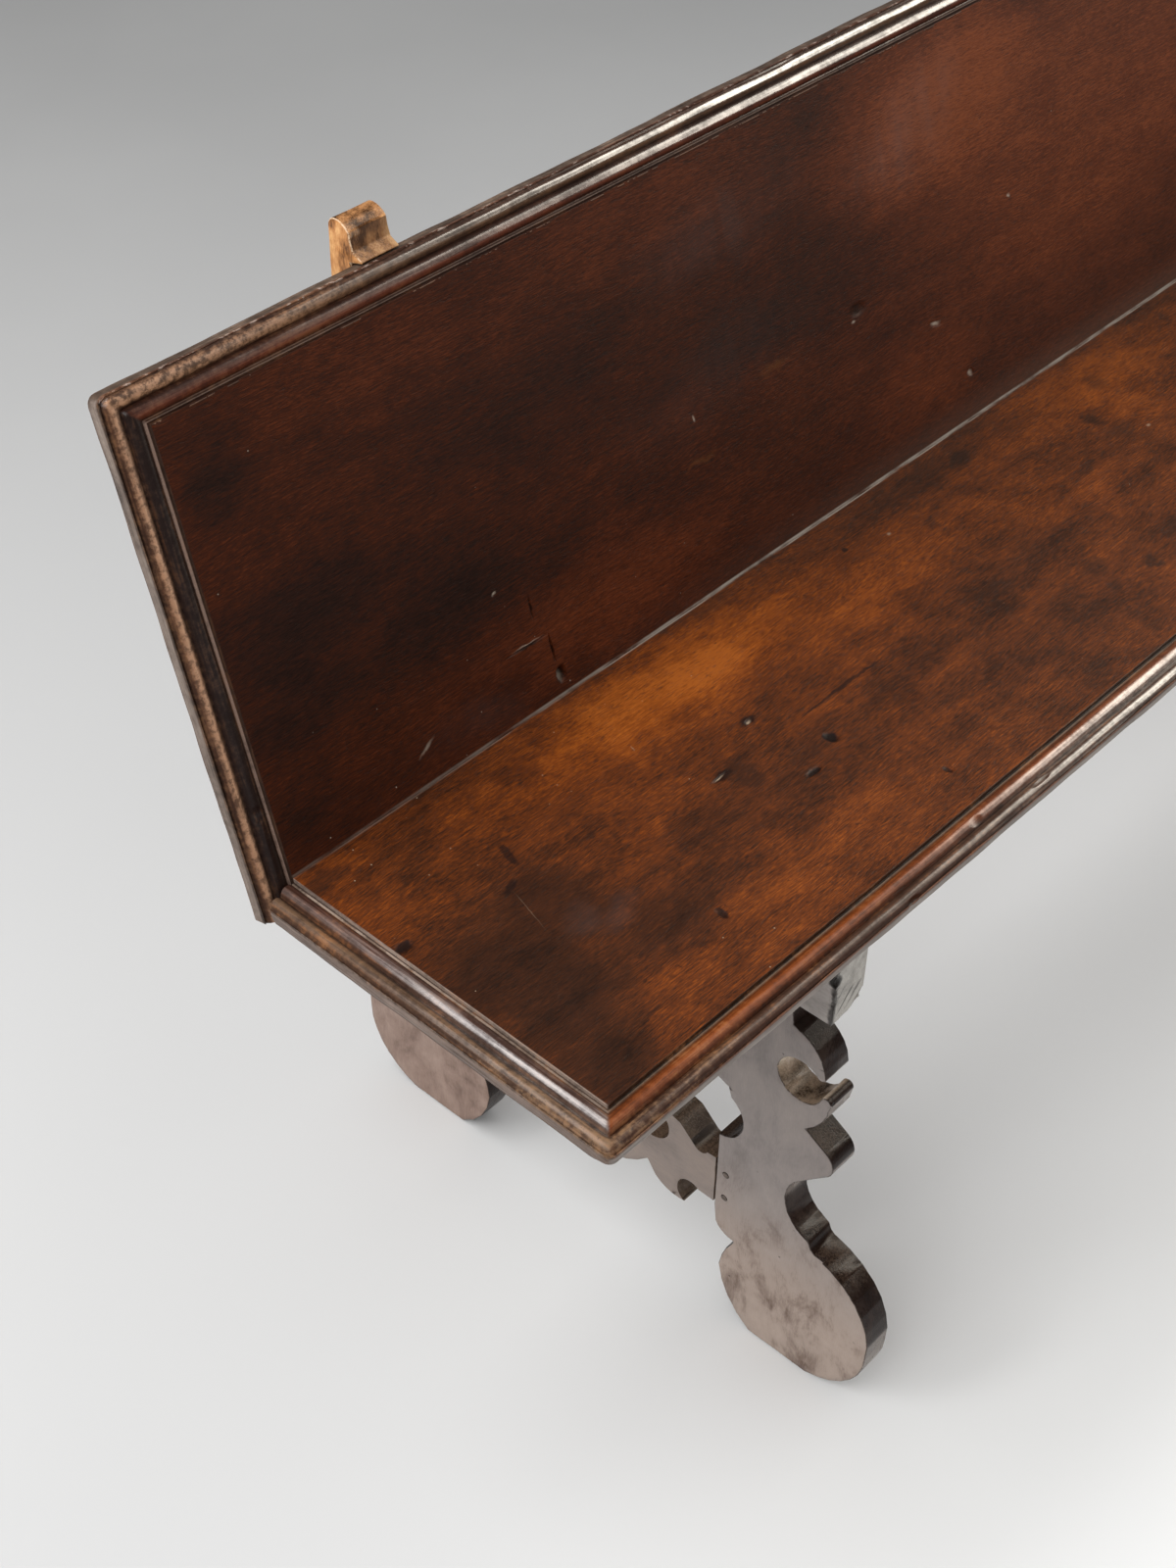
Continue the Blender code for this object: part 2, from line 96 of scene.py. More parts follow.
class Shader:
    """A material's node tree, built by calls that return sockets."""

    INPUTS = {"colour": "Base Color", "roughness": "Roughness", "normal": "Normal",
              "specular": "Specular IOR Level", "coat": "Coat Weight",
              "coat_roughness": "Coat Roughness", "coat_ior": "Coat IOR"}

    def __init__(self, name):
        self.material = bpy.data.materials.new(name)
        self.material.use_nodes = True
        self.tree = self.material.node_tree
        self.surface = self.tree.nodes["Principled BSDF"]

    def node(self, kind, **settings):
        item = self.tree.nodes.new(kind)
        for key, value in settings.items():
            setattr(item, key, value)
        return item

    def feed(self, socket, value):
        if isinstance(value, bpy.types.NodeSocket):
            self.tree.links.new(value, socket)
        else:
            socket.default_value = value

    def place(self):
        return self.node("ShaderNodeTexCoord").outputs["Object"]

    def normal(self):
        return self.node("ShaderNodeNewGeometry").outputs["Normal"]

    def math(self, operation, *values):
        item = self.node("ShaderNodeMath", operation=operation)
        for socket, value in zip(item.inputs, values):
            self.feed(socket, value)
        return item.outputs[0]

    def fold(self, operation, values):
        total = values[0]
        for value in values[1:]:
            total = self.math(operation, total, value)
        return total

    def add(self, *values):
        return self.fold("ADD", values)

    def times(self, *values):
        return self.fold("MULTIPLY", values)

    def most(self, *values):
        return self.fold("MAXIMUM", values)

    def minus(self, first, second):
        return self.math("SUBTRACT", first, second)

    def size(self, value):
        return self.math("ABSOLUTE", value)

    def square(self, value):
        return self.math("POWER", value, 2.0)

    def centred(self, value):
        return self.minus(value, 0.5)

    def inverse(self, value):
        return self.minus(1.0, value)

    def between(self, factor, first, second):
        """The first value where the factor is 0, and the second where it is 1."""
        return self.add(self.times(factor, second), self.times(self.inverse(factor), first))

    def shift(self, vector, location=(0, 0, 0), rotation=(0, 0, 0), scale=(1, 1, 1), kind="POINT"):
        item = self.node("ShaderNodeMapping", vector_type=kind)
        self.feed(item.inputs["Vector"], vector)
        item.inputs["Location"].default_value = location
        item.inputs["Rotation"].default_value = rotation
        item.inputs["Scale"].default_value = scale
        return item.outputs[0]

    def vector_math(self, operation, first, second):
        item = self.node("ShaderNodeVectorMath", operation=operation)
        self.feed(item.inputs[0], first)
        self.feed(item.inputs["Scale" if operation == "SCALE" else 1], second)
        return item.outputs[0]

    def length(self, vector):
        item = self.node("ShaderNodeVectorMath", operation="LENGTH")
        self.feed(item.inputs[0], vector)
        return item.outputs["Value"]

    def parts(self, vector):
        item = self.node("ShaderNodeSeparateXYZ")
        self.feed(item.inputs[0], vector)
        return item.outputs[0], item.outputs[1], item.outputs[2]

    def noise(self, vector, scale=1.0, detail=2.0, roughness=0.5, distortion=0.0, output="Fac"):
        item = self.node("ShaderNodeTexNoise")
        self.feed(item.inputs["Vector"], vector)
        item.inputs["Scale"].default_value = scale
        item.inputs["Detail"].default_value = detail
        item.inputs["Roughness"].default_value = roughness
        item.inputs["Distortion"].default_value = distortion
        return item.outputs[output]

    def streaks(self, vector, scale, detail=2.0, roughness=0.6):
        """Noise stretched by a scale for each axis."""
        return self.noise(self.shift(vector, scale=scale), 1.0, detail, roughness)

    def cells(self, vector, scale, output="Distance"):
        item = self.node("ShaderNodeTexVoronoi")
        self.feed(item.inputs["Vector"], vector)
        item.inputs["Scale"].default_value = scale
        return item.outputs[output]

    def range(self, value, low, high, start=0.0, end=1.0):
        """A smooth step from start to end while the value goes from low to high."""
        item = self.node("ShaderNodeMapRange", interpolation_type="SMOOTHSTEP")
        for socket, given in zip(item.inputs, (value, low, high, start, end)):
            self.feed(socket, given)
        return item.outputs[0]

    def ramp(self, value, *stops):
        item = self.node("ShaderNodeValToRGB")
        self.feed(item.inputs[0], value)
        points = item.color_ramp.elements
        while len(points) < len(stops):
            points.new(0.5)
        for point, (position, colour) in zip(points, stops):
            point.position = position
            point.color = (*colour, 1.0)
        return item.outputs[0]

    def mix(self, factor, first, second):
        item = self.node("ShaderNodeMix", data_type="RGBA")
        self.feed(item.inputs["Factor"], factor)
        colours = [socket for socket in item.inputs if socket.type == "RGBA"]
        for socket, value in zip(colours, (first, second)):
            self.feed(socket, (*value, 1.0) if isinstance(value, tuple) else value)
        return next(socket for socket in item.outputs if socket.type == "RGBA")

    def bump(self, height, distance):
        item = self.node("ShaderNodeBump")
        item.inputs["Distance"].default_value = distance
        self.feed(item.inputs["Height"], height)
        return item.outputs[0]

    def spot(self, vector, centre, radii, angle=0.0, hard=0.0):
        """1 inside an ellipse and 0 outside, with a soft rim."""
        local = self.shift(vector, (*centre, 0.0), (0, 0, angle), (*radii, FAR), "TEXTURE")
        return self.range(self.length(local), 1.0, hard)

    def set(self, **values):
        for key, value in values.items():
            self.feed(self.surface.inputs[self.INPUTS[key]], value)
        return self.material


def grain(s, vector):
    """Wood running along the vector's X: strands and mottle about zero, and dark pores 0 to 1."""
    drift = s.streaks(vector, (2.5, 9, 9))
    sway = s.ramp(drift, (0.3, (0, 0, 0)), (0.7, (0, 1, 1)))
    bent = s.vector_math("ADD", vector, s.vector_math("SCALE", sway, 0.014))
    bands = s.centred(s.streaks(bent, (1.5, 46, 46)))
    lines = s.centred(s.streaks(bent, (34, 800, 800), 2.0, 0.7))
    fibres = s.centred(s.streaks(bent, (140, 1150, 1150), 2.0, 0.7))
    mottle = s.noise(s.shift(bent, scale=(22, 34, 34)), 1.0, 6.0, 0.66, 0.3)
    pores = s.range(s.streaks(bent, (130, 1000, 1000), 1.0), 0.61, 0.74)
    strands = s.add(s.times(bands, 0.30), s.times(lines, 0.50), s.times(fibres, 0.95))
    return strands, s.centred(mottle), pores


# Geometry

def dense_copy(node, name, *cuts):
    """A copy of a CAD node cut into a fine grid: each cut is a direction and a spacing."""
    body = bmesh.new()
    body.from_mesh(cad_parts[node].data)
    bmesh.ops.remove_doubles(body, verts=body.verts, dist=WELD)
    bmesh.ops.dissolve_limit(body, angle_limit=FLAT, verts=body.verts, edges=body.edges)
    for direction, spacing in cuts:
        reach = [vert.co.dot(direction) for vert in body.verts]
        start, end = min(reach), max(reach)
        count = round((end - start) / spacing)
        for i in range(1, count):
            place = direction * (start + (end - start) * i / count)
            bmesh.ops.bisect_plane(body, geom=body.verts[:] + body.edges[:] + body.faces[:],
                                   dist=WELD, plane_co=place, plane_no=direction)
    body.normal_update()
    item = bpy.data.objects.new(name, bpy.data.meshes.new(name))
    bpy.context.scene.collection.objects.link(item)
    return item, body


def settle(item, body, node, material):
    """Write the worn mesh, and let the piece stand for its CAD node."""
    bmesh.ops.recalc_face_normals(body, faces=body.faces)
    body.to_mesh(item.data)
    body.free()
    item.data.shade_smooth()
    item.data.set_sharp_from_angle(angle=SMOOTH_ANGLE)
    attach(item, "root")
    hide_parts(node)
    item.data.materials.append(material)


def rough(place, scale, seed=0.0):
    """Smooth noise, 0 to 1, about 1 / scale metres across."""
    return 0.5 + 0.5 * noise.noise(place * scale + Vector((seed, seed * 0.7, -seed)))


def refine(body, middle, axes, skin=FAR, normal=Z_AXIS):
    """Cut the faces round a place into a finer grid: each axis is a direction and a half size."""
    def close(face):
        offset = face.calc_center_median() - middle
        inside = all(abs(offset.dot(axis)) < half * REFINED_REACH + FACE_REACH for axis, half in axes)
        return inside and abs(offset.dot(normal)) < skin

    faces = [face for face in body.faces if close(face)]
    parts = dict.fromkeys(part for face in faces for part in (face, *face.edges, *face.verts))
    for axis, half in axes:
        for i in range(-REFINED_STEPS, REFINED_STEPS + 1):
            place = middle + axis * (half * REFINED_REACH * i / REFINED_STEPS)
            cut = bmesh.ops.bisect_plane(body, geom=list(parts), dist=WELD, plane_co=place, plane_no=axis)
            parts = dict.fromkeys(cut["geom"])


def dent(body, middle, axes, normal, depth):
    """Sink an oval hollow with a ragged rim into a board's face."""
    refine(body, middle, axes, SKIN, normal)
    for vert in body.verts:
        offset = vert.co - middle
        if abs(offset.dot(normal)) > SKIN:
            continue
        reach = sum((offset.dot(axis) / half) ** 2 for axis, half in axes)
        reach *= 0.70 + 0.60 * rough(vert.co, 330)
        if reach < 1:
            vert.co -= normal * depth * (1 - reach * reach)


def chip(body, middle, along, half, radius, depth):
    """Knock a notch into an edge: along it by half on each side, and across it by a radius."""
    crosswise = [axis for axis in AXES if abs(axis.dot(along)) < 0.5]
    refine(body, middle, [(along, half)] + [(axis, radius) for axis in crosswise])
    body.normal_update()
    for vert in body.verts:
        offset = vert.co - middle
        run = offset.dot(along) / half
        across = (offset - along * offset.dot(along)).length / radius
        reach = (run * run + across * across) * (0.85 + 0.30 * rough(vert.co, 120, 4))
        if reach < 1:
            vert.co -= vert.normal * depth * (1 - reach)


def turned(first, second, angle):
    """Two directions turned in their plane."""
    return first * cos(angle) + second * sin(angle), second * cos(angle) - first * sin(angle)


def wear_board(body, out_of_field):
    """Worn and slightly wavy, and more so on the moulding and its lip."""
    for vert in body.verts:
        out = out_of_field(vert.co)
        edge = min(max(out / MOULDING_RAMP, 0.0), 1.0)
        lip = min(max((out - LIP_START) / LIP_RAMP, 0.0), 1.0)
        depth = BOARD_WAVES * rough(vert.co, 7, 3)
        depth += edge * MOULDING_WEAR * rough(vert.co, 38, 11)
        depth += lip * LIP_WEAR * max(0.0, rough(vert.co, 24, 29) - 0.35)
        vert.co -= vert.normal * depth


def out_of_seat_field(place):
    """How far a place lies outside the seat's flat field."""
    return max(abs(place.x) - FIELD_END, FIELD_FRONT - place.y)


def out_of_back_field(place):
    """How far a place lies outside the back's flat field."""
    up = (place.y - JUNCTION_Y) * sin(BACK_LEAN) + (place.z - SEAT_TOP) * cos(BACK_LEAN)
    return max(abs(place.x) - FIELD_END, up - (BACK_HEIGHT - MOULDING_WIDTH))


# Dents as place along, place across, half sizes, turn and depth, all in millimetres but the turn
SEAT_DENTS = ((-468, -77, 5, 6.5, 0.3, 1.1), (-505, -91, 8, 3, 0.0, 0.9),
              (-496, -23.5, 4.5, 2.2, 0.2, 1), (-556, -47.5, 8, 1.3, 0.05, 0.9),
              (-655, -135, 3, 5.5, 0.0, 0.8), (-439, -158, 2.8, 4, 0.3, 0.8),
              (-818, -6, 7, 5, 0.0, 0.7))
BACK_DENTS = ((-562, 16, 4.5, 6.5, 0.0, 4.2), (-565, 39, 1.1, 12, 0.06, 1.4),
              (-586, 51.5, 20, 1, -0.03, 1.2), (-98, 97, 8.5, 2.6, -0.3, 0.9),
              (-61, 39.5, 5, 3.4, -0.3, 0.9), (-190, 146, 10, 5.5, 0.0, 1.1),
              (-605, 102.6, 2.6, 1.6, 0.3, 0.7), (-576, 77, 1.2, 9, 0.0, 0.8))

# Chips as a place, the edge's direction, half length, radius and depth, all in millimetres
SEAT_CHIPS = (((-551, -212, 468), X_AXIS, 9, 5, 1.8),
              ((-466, -201, 476), X_AXIS, 7, 3.5, 0.9),
              ((-399, -208.5, 476), X_AXIS, 12, 3, 1))
BACK_CHIPS = (((-834, 111, 531), Z_AXIS, 7, 4.5, 1.2),
              ((-851, 192, 820), X_AXIS, 12, 10, 2.6))

# Chips on a batten's front end, with places outward, inward and up from the middle of its top
BATTEN_CHIPS = (((17, 0.0, -19), Z_AXIS, 5, 3.6, 2),
                ((-17, 0.0, -61), Z_AXIS, 14, 14, 3),
                ((17, 0.0, -29), Z_AXIS, 3.5, 2.6, 1.3),
                ((17, 0.0, -40), Z_AXIS, 5, 2.6, 1.2),
                ((0.0, 0.0, -61), X_AXIS, 9, 3, 1.2))
BATTEN_END = 0.004


def make_board(name, rise, facing, foot, out_of_field, dents, chips, material):
    """A worn board, gridded along X and its own rise, with dents in its show face and chipped edges."""
    board, body = dense_copy(name + "_board", name, (X_AXIS, BOARD_GRID), (rise, BOARD_GRID))
    wear_board(body, out_of_field)
    for along, across, half_along, half_across, turn, depth in dents:
        first, second = turned(X_AXIS, rise, turn)
        middle = foot + X_AXIS * (along * MM) + rise * (across * MM)
        dent(body, middle, ((first, half_along * MM), (second, half_across * MM)), facing, depth * MM)
    for middle, along, half, radius, depth in chips:
        chip(body, Vector(middle) * MM, along, half * MM, radius * MM, depth * MM)
    settle(board, body, name + "_board", material)


def make_boards():
    make_board("seat", Y_AXIS, Z_AXIS, Vector((0, 0, SEAT_TOP)), out_of_seat_field,
               SEAT_DENTS, SEAT_CHIPS, seat_wood())
    make_board("back", BACK_RISE, BACK_FACING, Vector((0, JUNCTION_Y, SEAT_TOP)), out_of_back_field,
               BACK_DENTS, BACK_CHIPS, back_wood())


# Each side's pieces with a slot, a kind of wood, the grid's directions and its spacing
TRESTLE_PIECES = (("front_leg", "leg_walnut", "leg", (Y_AXIS, Z_AXIS), 0.008),
                  ("rear_leg", "leg_walnut", "leg", (Y_AXIS, Z_AXIS), 0.008),
                  ("stretcher", "stretcher_walnut", "stretcher", (Y_AXIS, Z_AXIS), 0.008),
                  ("seat_batten", "batten_wood", "batten", AXES, 0.007),
                  ("back_post", "post_wood", "post", (X_AXIS, Z_AXIS), 0.006))


def wear_trestle(body, edge_wear):
    """Slightly uneven faces, and more wear by an amount along the edges."""
    for vert in body.verts:
        corner = 1.0 - max(abs(part) for part in vert.normal)
        depth = TRESTLE_WAVES * rough(vert.co, 14, 5) + TRESTLE_RIPPLES * rough(vert.co, 60, 8)
        depth += min(corner / 0.25, 1.0) * edge_wear * rough(vert.co, 42, 17)
        vert.co -= vert.normal * depth


def chip_batten(body, side):
    """Knock the corners of a batten's front end: the side is -1 on the left and 1 on the right."""
    front = min(vert.co.y for vert in body.verts)
    end = [vert.co for vert in body.verts if vert.co.y < front + BATTEN_END]
    middle = (min(co.x for co in end) + max(co.x for co in end)) / 2
    top = max(co.z for co in end)
    for (outward, inward, up), along, half, radius, depth in BATTEN_CHIPS:
        place = Vector((middle + side * outward * MM, front + inward * MM, top + up * MM))
        chip(body, place, along, half * MM, radius * MM, depth * MM)


def make_trestles():
    for side, sign in (("left", -1), ("right", 1)):
        for piece, slot, kind, axes, spacing in TRESTLE_PIECES:
            node = f"{side}_{piece}"
            item, body = dense_copy(node, node + "_worn", *((axis, spacing) for axis in axes))
            wear_trestle(body, BATTEN_EDGE_WEAR if kind == "batten" else 0.0)
            if kind == "batten":
                chip_batten(body, sign)
            settle(item, body, node, trestle_wood(kind))


def finish_pegs():
    """The pegs keep their CAD shapes and get end grain."""
    material = trestle_wood("peg")
    for side in ("left", "right"):
        for leg in ("front", "rear"):
            for level in ("upper", "lower"):
                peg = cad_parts[f"{side}_{leg}_{level}_peg"]
                for slot in peg.material_slots:
                    slot.material = material


# Finishes

PLAIN_TONES = ((0.20, (0.026, 0.014, 0.009)), (0.50, (0.085, 0.046, 0.028)), (0.80, (0.170, 0.104, 0.066)))
JOINT_DUST = (0.42, 0.36, 0.30)
MOULDING_GLOW = (0.460, 0.170, 0.050)
PROFILE_START, PROFILE_END = -2.0, 26.0
COAT_IOR = 2.10


def clouds(s, vector, places, hard=0.0):
    """The strongest of some patches: each has a centre and radii in millimetres, an angle and an amount."""
    total = 0.0
    for centre, radii, angle, amount in places:
        patch = s.spot(vector, Vector(centre) * MM, Vector(radii) * MM, angle, hard)
        total = s.most(s.times(patch, amount), total)
    return total


def wandering(s, vector, scale, reach):
    """The vector, moved about so that patches get ragged rims."""
    sway = s.noise(vector, scale, 4.0, 0.6, output="Color")
    sway = s.vector_math("SUBTRACT", sway, (0.5, 0.5, 0.5))
    return s.vector_math("ADD", vector, s.vector_math("SCALE", sway, reach))


def specks(s, vector, scale, size, share):
    """Small round dots in a share of the cells."""
    near = s.range(s.cells(vector, scale), size, size * 0.5)
    pick = s.parts(s.cells(vector, scale, "Color"))[0]
    return s.times(near, s.math("LESS_THAN", pick, share))


def joint_dust(s, vector, distance):
    """A broken line of dust within a couple of millimetres of the joint between the boards."""
    broken = s.range(s.streaks(vector, (25, 60, 60), 4.0, 0.5), 0.30, 0.60)
    along = s.range(s.parts(vector)[0], -0.80, -0.30, 0.20, 1.0)
    return s.times(s.range(distance, 0.0022, 0.0009), broken, along, 0.9)


class Moulding:
    """Where a board's moulding lies, the marks it carries and its colours.

    side_out is the distance out past the field's long side, and fall the depth below the show face.
    """

    def __init__(self, s, vector, side_out, fall, ragged=0.0):
        self.s = s
        end_out = s.minus(s.size(s.parts(vector)[0]), FIELD_END)
        self.out = s.most(end_out, side_out)
        self.end = s.range(s.minus(end_out, side_out), -0.0020, 0.0020)
        self.side = s.inverse(self.end)
        self.inside = s.range(s.add(self.out, s.times(ragged, self.side)), -0.0008, -0.0002)
        self.bead = s.range(self.out, 0.0132, 0.0150)
        self.face = s.range(fall, FACE_FALL - MM, FACE_FALL + MM)
        self.bare = s.range(fall, BOARD_THICKNESS - 3.0 * MM, BOARD_THICKNESS - 1.8 * MM)
        self.flecks = s.noise(vector, 190, 4.0, 0.7)
        self.patches = s.noise(vector, 28, 3.0, 0.6)
        self.strokes = s.mix(self.end, s.streaks(vector, (14, 420, 420)), s.streaks(vector, (420, 14, 420)))
        sway = s.centred(s.noise(vector, 240, 4.0, 0.7))
        self.swayed_out = s.add(self.out, s.times(sway, s.range(self.out, 0.006, 0.014, 0.0, 0.0040)))

    def blotches(self, patches, flecks, strokes):
        """The three kinds of marks in given shares."""
        s = self.s
        small = s.add(s.times(self.flecks, flecks), s.times(self.strokes, strokes))
        return s.add(s.times(self.patches, patches), small)

    def profile(self, stops):
        """Colours across the moulding, each at a distance out from the field in millimetres."""
        span = self.s.node("ShaderNodeMapRange")
        self.s.feed(span.inputs["Value"], self.swayed_out)
        span.inputs["From Min"].default_value = PROFILE_START * MM
        span.inputs["From Max"].default_value = PROFILE_END * MM
        width = PROFILE_END - PROFILE_START
        places = [(distance - PROFILE_START) / width for distance, colour in stops]
        return self.s.ramp(span.outputs[0], *zip(places, (colour for distance, colour in stops)))

    def band(self, start, full, last, end):
        """1 from full to last and 0 outside start and end, all distances out in millimetres."""
        s = self.s
        return s.times(s.range(self.out, start * MM, full * MM), s.range(self.out, end * MM, last * MM))

    def colours(self, side_stops, end_stops, grime, glow):
        """The profile's colours, with grime in some strokes and a warm glow, by an amount, in others."""
        s = self.s
        band = s.mix(self.end, self.profile(side_stops), self.profile(end_stops))
        dirt = self.blotches(0.3, 0.3, 0.4)
        band = s.mix(s.range(dirt, 0.54, 0.38, 0.0, 0.60), band, grime)
        return s.mix(s.range(dirt, 0.51, 0.64, 0.0, glow), band, MOULDING_GLOW)

    def wear(self, amount, more):
        """Bare tan wood in flecks, mostly on the bead, and wider spread where there is more."""
        s = self.s
        spread = s.add(self.blotches(0.35, 0.40, 0.25), s.times(more, 0.06))
        return s.times(s.range(spread, 0.51, 0.66), amount, s.range(self.bead, 0.0, 1.0, 0.25, 1.0))

    def polish(self, band, worn, side_rub, end_rub):
        """Wax rubbed bright in patches within a band, where the wood faces up and isn't worn bare."""
        s = self.s
        up = s.range(s.parts(s.normal())[2], 0.10, 0.50)
        patchy = s.range(self.blotches(0.25, 0.35, 0.40), 0.38, 0.58, 0.35, 1.0)
        rub = s.between(self.end, side_rub, end_rub)
        return s.times(up, patchy, self.inside, band, s.inverse(s.times(worn, 0.6)), rub)

    def finish(self, field, band, wood, worn, polish, uneven, **gloss):
        """The board's material: its field, its moulding, and bare wood on the face never polished."""
        s = self.s
        strands, mottle, pores = wood
        plain = s.ramp(s.add(0.5, s.times(strands, 0.8), s.times(mottle, 0.8)), *PLAIN_TONES)
        colour = s.mix(self.inside, field, band)
        colour = s.mix(self.bare, colour, plain)
        roughness = s.add(0.46, s.times(mottle, uneven), s.times(polish, -0.14))
        height = s.add(s.times(strands, 0.5), s.times(pores, -0.4), s.times(mottle, 0.6))
        height = s.add(height, s.times(self.inside, self.strokes, 1.1), s.times(worn, self.flecks, 1.2))
        return s.set(colour=colour, roughness=roughness, normal=s.bump(height, 0.0003),
                     coat=polish, coat_ior=COAT_IOR, **gloss)


# Patches as centre, radii, angle and amount, in millimetres on the seat
SEAT_DARK = (((-785, -90), (85, 110), 0.0, 1.0), ((-735, -60), (85, 85), 0.0, 0.8),
             ((-690, -110), (130, 45), 0.0, 0.65), ((-800, -165), (60, 40), 0.0, 0.9),
             ((-540, -85), (230, 40), 0.0, 0.45), ((-540, -55), (26, 22), 0.0, 0.75),
             ((-300, -90), (260, 45), -0.1, 0.35), ((-200, -50), (130, 60), 0.0, 0.45),
             ((-810, 78), (40, 16), 0.0, 0.7), ((-770, 55), (70, 45), 0.0, 0.35),
             ((-640, 58), (30, 18), 0.0, 0.5), ((-240, -150), (130, 45), 0.0, 0.4),
             ((-180, 70), (120, 22), 0.0, 0.5))
SEAT_WARM = (((-500, 45), (240, 62), 0.0, 2.4), ((-560, -160), (220, 40), 0.0, 0.4),
             ((-330, 20), (160, 60), 0.0, 0.9), ((60, 55), (160, 60), 0.0, 1.3),
             ((50, 10), (60, 40), 0.0, 1.2), ((-140, -20), (110, 45), 0.0, 0.6))
SEAT_STAINS = (((-120, 66), (20, 14), 0.0, 0.8), ((4, 20), (14, 17), 0.0, 0.9),
               ((5, -8), (26, 14), 0.0, 0.6), ((50, 50), (16, 16), 0.0, 0.5),
               ((-170, -100), (20, 15), 0.0, 0.7), ((-180, -124), (12, 8), 0.0, 0.7),
               ((-131, -127), (11, 8), 0.0, 0.9), ((-85, -115), (20, 15), 0.0, 0.8),
               ((-250, -62), (35, 9), 0.0, 0.6), ((-275, -168), (14, 11), 0.0, 0.7),
               ((-210, 30), (9, 12), 0.0, 0.65), ((-60, -18), (22, 9), 0.0, 0.6),
               ((-415, 85), (30, 10), 0.0, 0.5))
SEAT_MARKS = (((-468, -77), (6, 8), 0.3, 1.0), ((-505, -91), (9, 3.4), 0.0, 0.95),
              ((-495, -22.5), (10.5, 5.8), 0.0, 0.85), ((-552, -48), (12, 5), 0.0, 0.8),
              ((-655, -135), (4, 7.5), 0.0, 0.85), ((-818, -6), (8.5, 6), 0.0, 0.9),
              ((-711, 4), (3.5, 15), -0.25, 0.7), ((-732, -18), (11, 3.5), 0.3, 0.7),
              ((-439, -158), (3.4, 5), 0.3, 0.8), ((-286, 55), (4, 3), 0.0, 0.8),
              ((-420, -48), (65, 2), 0.0, 0.75))
SEAT_NICKS = (((-496, -23.5), (4.2, 1.9), 0.2, 1.0), ((-556, -47.5), (7.5, 1), 0.05, 1.0),
              ((-245, 43), (3.2, 2.2), 0.6, 0.6), ((28, -20.5), (3.6, 2.2), 0.0, 0.7),
              ((-574, 17), (4.5, 0.7), 1.2, 0.5), ((-739, -42), (28, 0.5), 1.31, 0.2))
# Patches of a painted sheen on the seat's front left
SEAT_SHEEN_PATCHES = (((-725, -75), (30, 22), 0.0, 0.5), ((-700, -85), (30, 14), 0.0, 0.5))

# Colours of the seat's field from dark to bright, and of its outer faces
SEAT_TONES = ((0.05, (0.0190, 0.0066, 0.0030)), (0.27, (0.0530, 0.0140, 0.0036)),
              (0.50, (0.1250, 0.0275, 0.0032)), (0.75, (0.2450, 0.0560, 0.0040)),
              (1.00, (0.3900, 0.1000, 0.0090)))
SEAT_PORES = (0.018, 0.006, 0.002)
SEAT_SPOTS = (0.018, 0.006, 0.003)
SEAT_STAIN = (0.020, 0.008, 0.004)
SEAT_MARK = (0.010, 0.004, 0.003)
# Colour of a painted sheen
SEAT_PAINTED_SHEEN = (0.090, 0.060, 0.055)
SEAT_DUST = (0.42, 0.31, 0.21)
SEAT_GRIME = (0.020, 0.009, 0.006)
SEAT_BARE = (0.250, 0.150, 0.082)
SEAT_PITS = (0.014, 0.008, 0.006)
SEAT_GROOVE_DUST = (0.330, 0.250, 0.200)
# A painted highlight along the top of the end's torus
SEAT_PAINTED_HIGHLIGHT = (0.330, 0.290, 0.270)
SEAT_END_FACE = ((0.25, (0.090, 0.060, 0.047)), (0.75, (0.250, 0.186, 0.154)))
# The front face's grey is a painted sheen of the pale floor
SEAT_FRONT_FACE_SHEEN = ((0.25, (0.150, 0.124, 0.110)), (0.75, (0.300, 0.262, 0.236)))

# Colours across the seat's mouldings, in millimetres out from the field. The pale line at -0.4 on the end
# is partly a worn arris and partly a painted highlight
SEAT_END_BAND = (
    (-0.8, (0.050, 0.018, 0.008)), (-0.4, (0.370, 0.285, 0.235)), (0.0, (0.060, 0.038, 0.028)),
    (0.8, (0.060, 0.038, 0.028)), (1.3, (0.200, 0.145, 0.112)), (1.9, (0.180, 0.125, 0.092)),
    (2.6, (0.046, 0.020, 0.012)), (3.6, (0.060, 0.017, 0.008)), (6.0, (0.066, 0.019, 0.009)),
    (9.5, (0.078, 0.029, 0.015)), (12.4, (0.062, 0.026, 0.013)), (13.4, (0.044, 0.020, 0.011)),
    (15.0, (0.115, 0.062, 0.035)), (18.5, (0.145, 0.082, 0.046)), (21.0, (0.110, 0.056, 0.030)),
    (23.0, (0.050, 0.022, 0.012)), (23.9, (0.060, 0.032, 0.020)), (24.7, (0.170, 0.118, 0.090)))
SEAT_FRONT_BAND = (
    (-0.6, (0.075, 0.026, 0.009)), (0.0, (0.016, 0.007, 0.003)), (0.7, (0.020, 0.010, 0.005)),
    (1.3, (0.200, 0.128, 0.086)), (2.0, (0.125, 0.056, 0.027)), (2.7, (0.095, 0.024, 0.005)),
    (5.0, (0.140, 0.030, 0.004)), (8.0, (0.230, 0.050, 0.005)), (10.0, (0.185, 0.040, 0.005)),
    (12.2, (0.105, 0.026, 0.007)), (13.4, (0.038, 0.011, 0.004)), (15.0, (0.056, 0.024, 0.012)),
    (17.2, (0.074, 0.034, 0.019)), (20.0, (0.072, 0.023, 0.008)), (22.4, (0.058, 0.015, 0.004)),
    (23.4, (0.030, 0.010, 0.005)), (23.9, (0.170, 0.075, 0.043)), (24.7, (0.105, 0.048, 0.029)))


